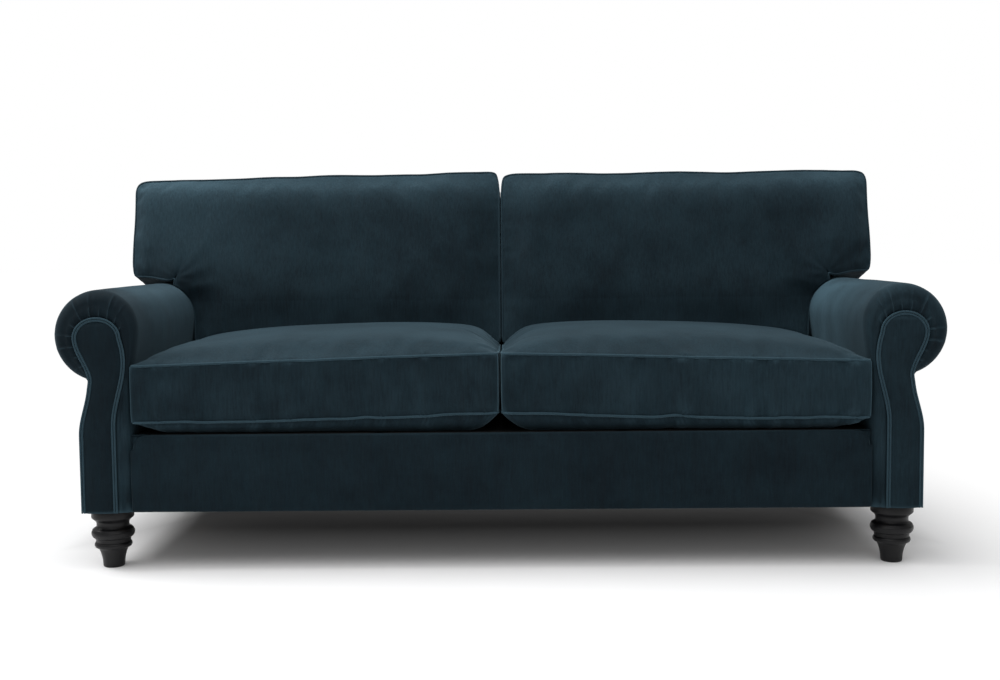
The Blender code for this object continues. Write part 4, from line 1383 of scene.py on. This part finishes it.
def refit(points, grid, kind, sign):
    """Brings the stuffed cover's seams back to the cushion's own width and depth."""
    seams = grid.seams()
    x = np.abs(points[:, 0])
    if kind == "seat":
        x = fitted(x, seams, SEAT_INNER + 0.001, SEAT_OUTER + 0.001)
        y = fitted(points[:, 1], seams, SEAT_LOW.y + 0.002, SEAT_BACK)
        faced = share(points[:, 2], SEAT_BOTTOM_SEAM, SEAT_TOP_SEAM)
        for column, target in ((0, SEAT_INNER + 0.002), (grid.counts[0], SEAT_OUTER + 0.001)):
            run = grid.run(lambda i, j, column=column: i == column)
            x = relax_side(x, y, faced, run, target)
        low, high = (points[loop, 2].mean() for loop in grid.loops)
        z = points[:, 2] + mix(SEAT_BOTTOM_SEAM - low, SEAT_TOP_SEAM - high, share(points[:, 2], low, high))
        return np.stack([sign * x, y, z], axis=1)
    _, up, out = unlean(*points.T)
    x = fitted(x, seams, 0.0030, EAR_X - 0.002)
    up = fitted(up, seams, 0.002, BACK_UP + 0.004)
    faced = out / BACK_THICKNESS
    inner = grid.run(lambda i, j: i == 0)
    x = relax_side(x, up, faced, inner, INNER_EDGE_X, 1.0)
    top = grid.run(lambda i, j: j == grid.counts[1])
    up = relax_side(up, x, faced, top, TOP_EDGE_UP, 0.9)
    outer = grid.run(lambda i, j: i == grid.body and j <= grid.ear)
    lower = unit((EAR_UP + 0.02 - up) / 0.02)
    side = BODY_X + notch_shift(lean(x, up, out)[2])
    x = mix(x, relax_side(x, up, faced, outer, side, 1.0), lower)
    ear = grid.run(lambda i, j: i > grid.body and j == grid.ear)
    beside = unit((x - BODY_X - NOTCH_SHIFT + 0.02) / 0.02)
    up = mix(up, relax_side(up, x, faced, ear, EAR_EDGE_UP, 1.0), beside)
    out = fitted(out, seams, SEAM_OUT, BACK_THICKNESS - SEAM_OUT)
    return leaned(sign * x, up, out)


def refine(piece):
    """Subdivides the piece once and returns its finer points. The first vertices are the old ones."""
    level = piece.modifiers.new("refine", "SUBSURF")
    level.levels = 1
    level.render_levels = 1
    graph = bpy.context.evaluated_depsgraph_get()
    mesh = bpy.data.meshes.new_from_object(piece.evaluated_get(graph))
    piece.modifiers.clear()
    piece.data = mesh
    mesh.shade_smooth()
    return read_vectors(mesh, "co")


def set_points(piece, points):
    piece.data.vertices.foreach_set("co", points.astype(np.float32).ravel())
    piece.data.update()


def seam_distance(points, paths):
    """Distance of each point from the nearest seam, and how far along it that is."""
    best = np.full(len(points), 1e9)
    along = np.zeros(len(points))
    for path in paths:
        line = np.array([tuple(p) for p in path])
        run = np.concatenate([[0], np.cumsum(np.linalg.norm(np.diff(line, axis=0), axis=1))])
        for start in range(0, len(points), POINTS_AT_ONCE):
            few = slice(start, start + POINTS_AT_ONCE)
            block = points[few]
            gap = np.linalg.norm(block[:, None] - line[None], axis=2)
            nearest = gap.argmin(1)
            distance = gap[np.arange(len(block)), nearest]
            closer = distance < best[few]
            best[few][closer] = distance[closer]
            along[few][closer] = run[nearest][closer]
    return best, along


def noise_along(values, spacing, second, third=0.0):
    """Smooth noise over an array of values, varying over about a spacing."""
    return np.array([noise.noise(Vector((a / spacing, second, third))) for a in values])


def puckers(points, normals, paths, depth, length, seed):
    """Gathers along the seams: uneven ridges that fade into the panel over a length."""
    distance, along = seam_distance(points, paths)
    wave = noise_along(along, 0.95 * length, seed) + 0.6 * noise_along(along, 2.4 * length, seed + 9.0)
    fade = np.exp(-distance / length) * unit(distance / (0.27 * length))
    return points + normals * (wave * depth * fade)[:, None]


def piping_paths(points, grid, normals, stand):
    """The sewn edges after stuffing, moved out so that the piping sits on the seam."""
    paths = []
    for loop in grid.loops:
        rim = [Vector(points[i] + normals[i] * stand) for i in loop]
        paths.append(smoothed(rim, 2, closed=True))
    return paths


def finish_cushion(side, grid, piece, points, body, kind):
    """Takes a stuffed cover to its final shape and adds its piping."""
    sign, seat = SIDES[side], kind == "seat"
    set_points(piece, refit(points, grid, kind, sign))
    fine = refine(piece)
    fine = settle_seat(fine, sign) if seat else settle_back(fine, sign, grid)
    set_points(piece, fine)
    normals = read_vectors(piece.data, "normal")
    paths = piping_paths(fine, grid, normals, 0.0006)
    fine = puckers(fine, normals, paths, *PUCKERS[kind], seed=3.0 * sign + (7 if seat else 1))
    set_points(piece, limit(fine, sign, kind))
    cords = joined([tube(path, PIPING_RADIUS, closed=True) for path in paths])
    piping = add_piece(f"{kind}_cushion_piping_{side}", *cords, PIPING if seat else VELVET, body=body)
    if seat:
        add_corner_seams(side, grid, piece, body)
    else:
        # Painted shade: the back cushions' piping is painted darker
        paint_light_and_shade(piping, lambda p: BACK_PIPING_SHADE)
    paint_light_and_shade(piece, cushion_painted_light_and_shade)


def add_corner_seams(side, grid, piece, body):
    """The upright seams where the boxing turns the corners."""
    normals = read_vectors(piece.data, "normal")
    last_u, last_v = grid.counts
    cords = []
    for i, j in ((0, 0), (last_u, 0), (0, last_v), (last_u, last_v)):
        column = [grid.index[i, j, k] for k in range(len(grid.ws))]
        path = [Vector(piece.data.vertices[n].co) + Vector(normals[n]) * 0.0003 for n in column]
        cords.append(tube(smoothed(path, 3), CORNER_SEAM_RADIUS, sides=6))
    add_piece(f"seat_cushion_corner_seams_{side}", *joined(cords), PIPING, body=body)


def cushion_floor(y):
    """Height of the surface on which the back cushions press into the seat cushions."""
    return BACK_REST_Z - 0.001 - FLOOR_SLOPE * (LEAN_Y - y)


def relax_side(across, along, faced, runs, target, spring=SIDE_SPRING):
    """Lets a side that the seams pulled in spring out again. faced: 0 at one face and 1 at the other."""
    sides = []
    for run in runs:
        order = run[np.argsort(along[run])]
        sides.append(np.interp(along, along[order], across[order]))
    side = mix(sides[0], sides[1], unit(faced))
    near = unit(1 - np.abs(across - side) / SIDE_REACH)
    return across + spring * (target - side) * near


def limit(points, sign, kind):
    """Keeps a cushion in the room that it has between the arms, the deck, the back and its neighbour."""
    x = np.maximum(np.abs(points[:, 0]), 0.0003)
    if kind == "seat":
        ahead = 0.009 * unit((ARM_FRONT + FRONT_FADE - points[:, 1]) / FRONT_FADE)
        x = np.minimum(x, SEAT_SIDE_X + ahead - 0.006 * unit((points[:, 2] - SWELL_START_Z) / 0.1))
        z = np.maximum(points[:, 2], DECK_TOP + 0.0004)
        y = np.minimum(points[:, 1], inside_back_y(z) - 0.001)
        pressed = unit((y - (LEAN_Y - BACK_THICKNESS)) / PRESS_FADE)
        z = np.minimum(z, mix(z, cushion_floor(y) - PRESS_DEPTH, pressed))
        return np.stack([sign * x, y, z], axis=1)
    _, up, out = unlean(*points.T)
    out = np.maximum(out, 0.0005)
    points = leaned(sign * x, up, out)
    points[:, 2] = np.maximum(points[:, 2], cushion_floor(points[:, 1]) + 0.0005)
    x, points[:, 2] = clear_of_arm(np.abs(points[:, 0]), points[:, 2])
    points[:, 0] = sign * x
    return points


def settle_seat(points, sign):
    """Fuller towards the middle of the sofa, with the weight resting flat on the deck."""
    points = points.copy()
    x = np.abs(points[:, 0])
    height = unit(share(points[:, 2], DECK_TOP, SEAT_TOP_SEAM))
    lifted = 0.2 * height + 0.8 * unit((points[:, 2] - DECK_TOP - 0.004) / 0.03)
    below = np.clip(SEAT_BOTTOM_SEAM - points[:, 2], 0, BELLY_DEPTH)
    points[:, 2] -= BELLY_DEPTH * (below / BELLY_DEPTH) ** 0.55 - below
    ends = np.clip(np.minimum(x - SEAT_INNER, SEAT_OUTER - x), 0, None) + 0.004
    under = np.clip(SEAT_BOTTOM_SEAM - points[:, 2], 0, None)
    points[:, 2] += under * np.exp(-ends / 0.032)
    points[:, 2] += INNER_RISE * unit(1 - x / SEAT_OUTER) * lifted
    along = unit(share(points[:, 1], SEAT_LOW.y, SEAT_BACK))
    inner = 1 - unit((x - SEAT_INNER) / INNER_SHOULDER)
    points[:, 2] -= INNER_SAG * (1 - np.sqrt(1 - inner**2)) * height * smooth(along / 0.5)
    flare = unit((x - SEAT_OUTER + 0.06) / 0.06) * np.exp(-(points[:, 1] - SEAT_LOW.y) / FRONT_FADE)
    points[:, 0] += sign * FRONT_FLARE * flare
    faced = unit(share(points[:, 2], SEAT_BOTTOM_SEAM, SEAT_TOP_SEAM))
    front = np.exp(-np.clip(points[:, 1] - SEAT_LOW.y, 0, None) / FRONT_FADE) * 4 * faced * (1 - faced)
    places = [Vector((a / CREASE_WIDTH, b / CREASE_LENGTH, 2.0 + sign)) for a, b in points[:, ::2]]
    crease = np.array([noise.noise(place) for place in places])
    points[:, 1] += CREASE_DEPTH * front * np.clip(crease + 0.25, 0, None)
    return limit(points, sign, "seat")


def front_share(out):
    """0 at the rear half of a back cushion and 1 at its front face."""
    return unit((out - 0.09) / 0.05)


def settle_back(points, sign, grid):
    """Shapes a back cushion round the arm, with drag lines, a sagging foot and a top edge that wavers."""
    x, up, out = unlean(*points.T)
    x = np.abs(x)
    # Drag lines and fullness out of the inner ear corner
    corner_u, corner_v = grid.inner_corner[0] + NOTCH_SHIFT, grid.inner_corner[1]
    du, dv = x - corner_u, up - corner_v
    reach = np.hypot(du, dv)
    drag = np.sin(np.arctan2(dv, du) * 9.0 + 1.2 * sign) * np.exp(-reach / 0.10) * unit(reach / 0.02)
    fullness = CORNER_FULLNESS * np.exp(-((reach / 0.065) ** 2))
    out = out + (DRAG_DEPTH * drag + fullness) * front_share(out)
    # The ear droops over the arm and follows the roll
    over_arm = smooth((x - corner_u + 0.12) / 0.12) * (1 - 0.85 * smooth(share(x, corner_u, EAR_X)))
    up = up - EAR_DROOP * tan(INSIDE_RAKE) * out * over_arm * smooth(1 - (up - EAR_UP) / 0.20)
    across = np.clip((x - ROLL_X) / ROLL_RADIUS, 0, 0.95)
    falls = np.minimum(ROLL_RADIUS * (1 - np.sqrt(1 - across**2)), 0.026)
    forward = unit(out / BACK_THICKNESS)
    up = up - falls * (1 - 0.8 * forward) * smooth(1 - (up - EAR_UP) / 0.12)
    # The foot sags forwards and the top rolls back
    low = unit(1 - up / FOOT_HEIGHT) ** 2
    out = out + FOOT_PUSH * low * forward
    up = up - FOOT_SAG * low * forward
    high = unit((up - BACK_UP + TOP_ROLL_HEIGHT) / TOP_ROLL_HEIGHT) ** 2
    out = out - TOP_ROLL * high * front_share(out)
    # The top edge wavers, sags towards its ends and draws in
    waver = TOP_WAVER * noise_along(x, 0.11, sign * 2.0, 0.3)
    droop = 0.007 * np.exp(-x / 0.14) if sign < 0 else -0.005 * np.exp(-x / 0.05)
    droop = droop - END_DROOP[sign] * unit((x - 0.45) / 0.57) ** 1.5
    x = x - TOP_TAPER * smooth(share(up, EAR_UP, BACK_UP)) * smooth((x - 0.75) / 0.25)
    up = up + unit((up - 0.30) / 0.13) ** 2 * (waver + droop)
    # Rounded corners, and a middle that closes up against the other cushion
    x, up = eased(x, up, 0.004, TOP_EDGE_UP, -1, 1, 0.027)
    x, up = eased(x, up, EAR_X - 0.016, TOP_EDGE_UP - END_DROOP[sign], 1, 1, 0.024)
    x, up = eased(x, up, EAR_X - 0.004, EAR_UP - 0.014, 1, -1, 0.022)
    closing = smooth((BACK_UP - 0.028 - up) / 0.022) * smooth(1 - x / 0.02)
    closing = closing * (1 - np.abs(2 * forward - 1) ** 3)
    return limit(leaned(sign * (x - MIDDLE_CLOSE * closing), up, out), sign, "back")


def eased(x, up, corner_x, corner_up, toward_x, toward_up, radius):
    """Rounds one corner of a back cushion's outline."""
    dx = (x - corner_x) * toward_x + radius
    dup = (up - corner_up) * toward_up + radius
    near = (dx > 0) & (dup > 0)
    square = (np.clip(dx, 1e-6, None) ** 6 + np.clip(dup, 1e-6, None) ** 6) ** (1 / 6)
    scale = np.where(near, square / np.maximum(np.hypot(dx, dup), 1e-6), 1.0)
    x = np.where(near, corner_x + (dx * scale - radius) * toward_x, x)
    return x, np.where(near, corner_up + (dup * scale - radius) * toward_up, up)


def add_cushions():
    """Sews the four covers, stuffs them together and finishes each."""
    made = []
    for side in SIDES:
        for kind, grid in (("seat", seat_cushion_grid(side)), ("back", back_cushion_grid(side))):
            node_name = f"{kind}_cushion_{side}"
            body = f"{node_name}_body"
            material = SEAT_VELVET if kind == "seat" else VELVET
            cover = (grid.name, grid.start, grid.faces, material)
            piece = add_piece(*cover, body=body, stands_for=(node_name,))
            made.append((side, kind, grid, piece, body))
    shapes = stuff([(piece, grid.seams(), grid.gathered()) for _, _, grid, piece, _ in made])
    for (side, kind, grid, piece, body), shape in zip(made, shapes):
        shape = cap_moves(grid, shape, MOST_MOVE[kind])
        if kind == "back":
            shape = calmed(grid, shape)
        finish_cushion(side, grid, piece, shape, body, kind)


# ---- carried-over CAD nodes ----


def dress_frame():
    """Gives the timber, springs and fixings that stay from the CAD their finishes."""
    finishes = {"frame_wood": HARDWOOD, "spring_steel": SPRING_STEEL, "plated_steel": PLATED_STEEL}
    kinds = {"seat_spring": "spring_steel", "foot_bolt": "plated_steel", "t_nut": "plated_steel"}
    for name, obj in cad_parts.items():
        if obj.hide_render:
            continue
        slot = next((s for start, s in kinds.items() if name.startswith(start)), "frame_wood")
        for material_slot in obj.material_slots:
            material_slot.material = finishes[slot]


# ---- studio ----

CAMERA_PLACE = (0.027, -3.293, 0.739)
CAMERA_PITCH = radians(4.23)
CAMERA_YAW = radians(0.52)
CAMERA_ROLL = radians(-0.52)
CAMERA_LENS = 45.14
AMBIENT = 0.34

# Each light's place, its target, its size and its power
LIGHTS = {
    "overhead": ((-0.3, -0.95, 3.4), (0.0, -0.5, 0.0), 5.0, 160),
    "left": ((-2.7, -0.12, 2.9), (0.3, 0.05, 0.5), 1.4, 62),
    "rear": ((0.6, 3.4, 2.4), (0.0, 0.3, 0.5), 2.2, 26),
}


def into_scene(name, data):
    """A new object of the studio, put into the scene."""
    made = bpy.data.objects.new(name, data)
    bpy.context.scene.collection.objects.link(made)
    return made


def add_studio():
    """A wide floor, a white sky that lights the sofa only softly, and three lamps."""
    bm = bmesh.new()
    bmesh.ops.create_grid(bm, x_segments=1, y_segments=1, size=40)
    mesh = bpy.data.meshes.new("studio_floor")
    bm.to_mesh(mesh)
    bm.free()
    mesh.materials.append(make_floor_paint())
    into_scene("studio_floor", mesh)
    world = bpy.data.worlds.new("studio")
    world.use_nodes = True
    tree = world.node_tree
    seen = node(tree, "ShaderNodeLightPath").outputs["Is Camera Ray"]
    sky = {"Color": WHITE, "Strength": ramp(tree, seen, 0.0, 1.0, AMBIENT, 1.0)}
    feed_all(tree, tree.nodes["Background"], sky)
    bpy.context.scene.world = world
    for name, (place, target, size, power) in LIGHTS.items():
        data = bpy.data.lights.new(name, "AREA")
        data.size = size
        data.energy = power
        light = into_scene(name, data)
        light.location = place
        light.rotation_euler = (Vector(target) - Vector(place)).to_track_quat("-Z", "Y").to_euler()


def add_camera():
    """The camera as it was fitted to the photograph."""
    data = bpy.data.cameras.new("camera")
    data.lens = CAMERA_LENS
    data.sensor_width = 36
    camera = into_scene("camera", data)
    aim = Matrix.Rotation(CAMERA_YAW, 4, "Z") @ Matrix.Rotation(pi / 2 - CAMERA_PITCH, 4, "X")
    camera.matrix_world = Matrix.Translation(CAMERA_PLACE) @ aim @ Matrix.Rotation(CAMERA_ROLL, 4, "Z")
    bpy.context.scene.camera = camera
    bpy.context.scene.view_settings.view_transform = "Standard"


for name_of_side in SIDES:
    add_arm_cover(name_of_side)
    add_facing(name_of_side)
    add_outside_arm(name_of_side)
add_front_border()
add_deck()
add_dust_cover()
add_inside_back()
add_back_top()
for name_of_side in SIDES:
    add_back_end(name_of_side)
add_outside_back()
add_feet()
add_cushions()
dress_frame()
add_studio()
add_camera()
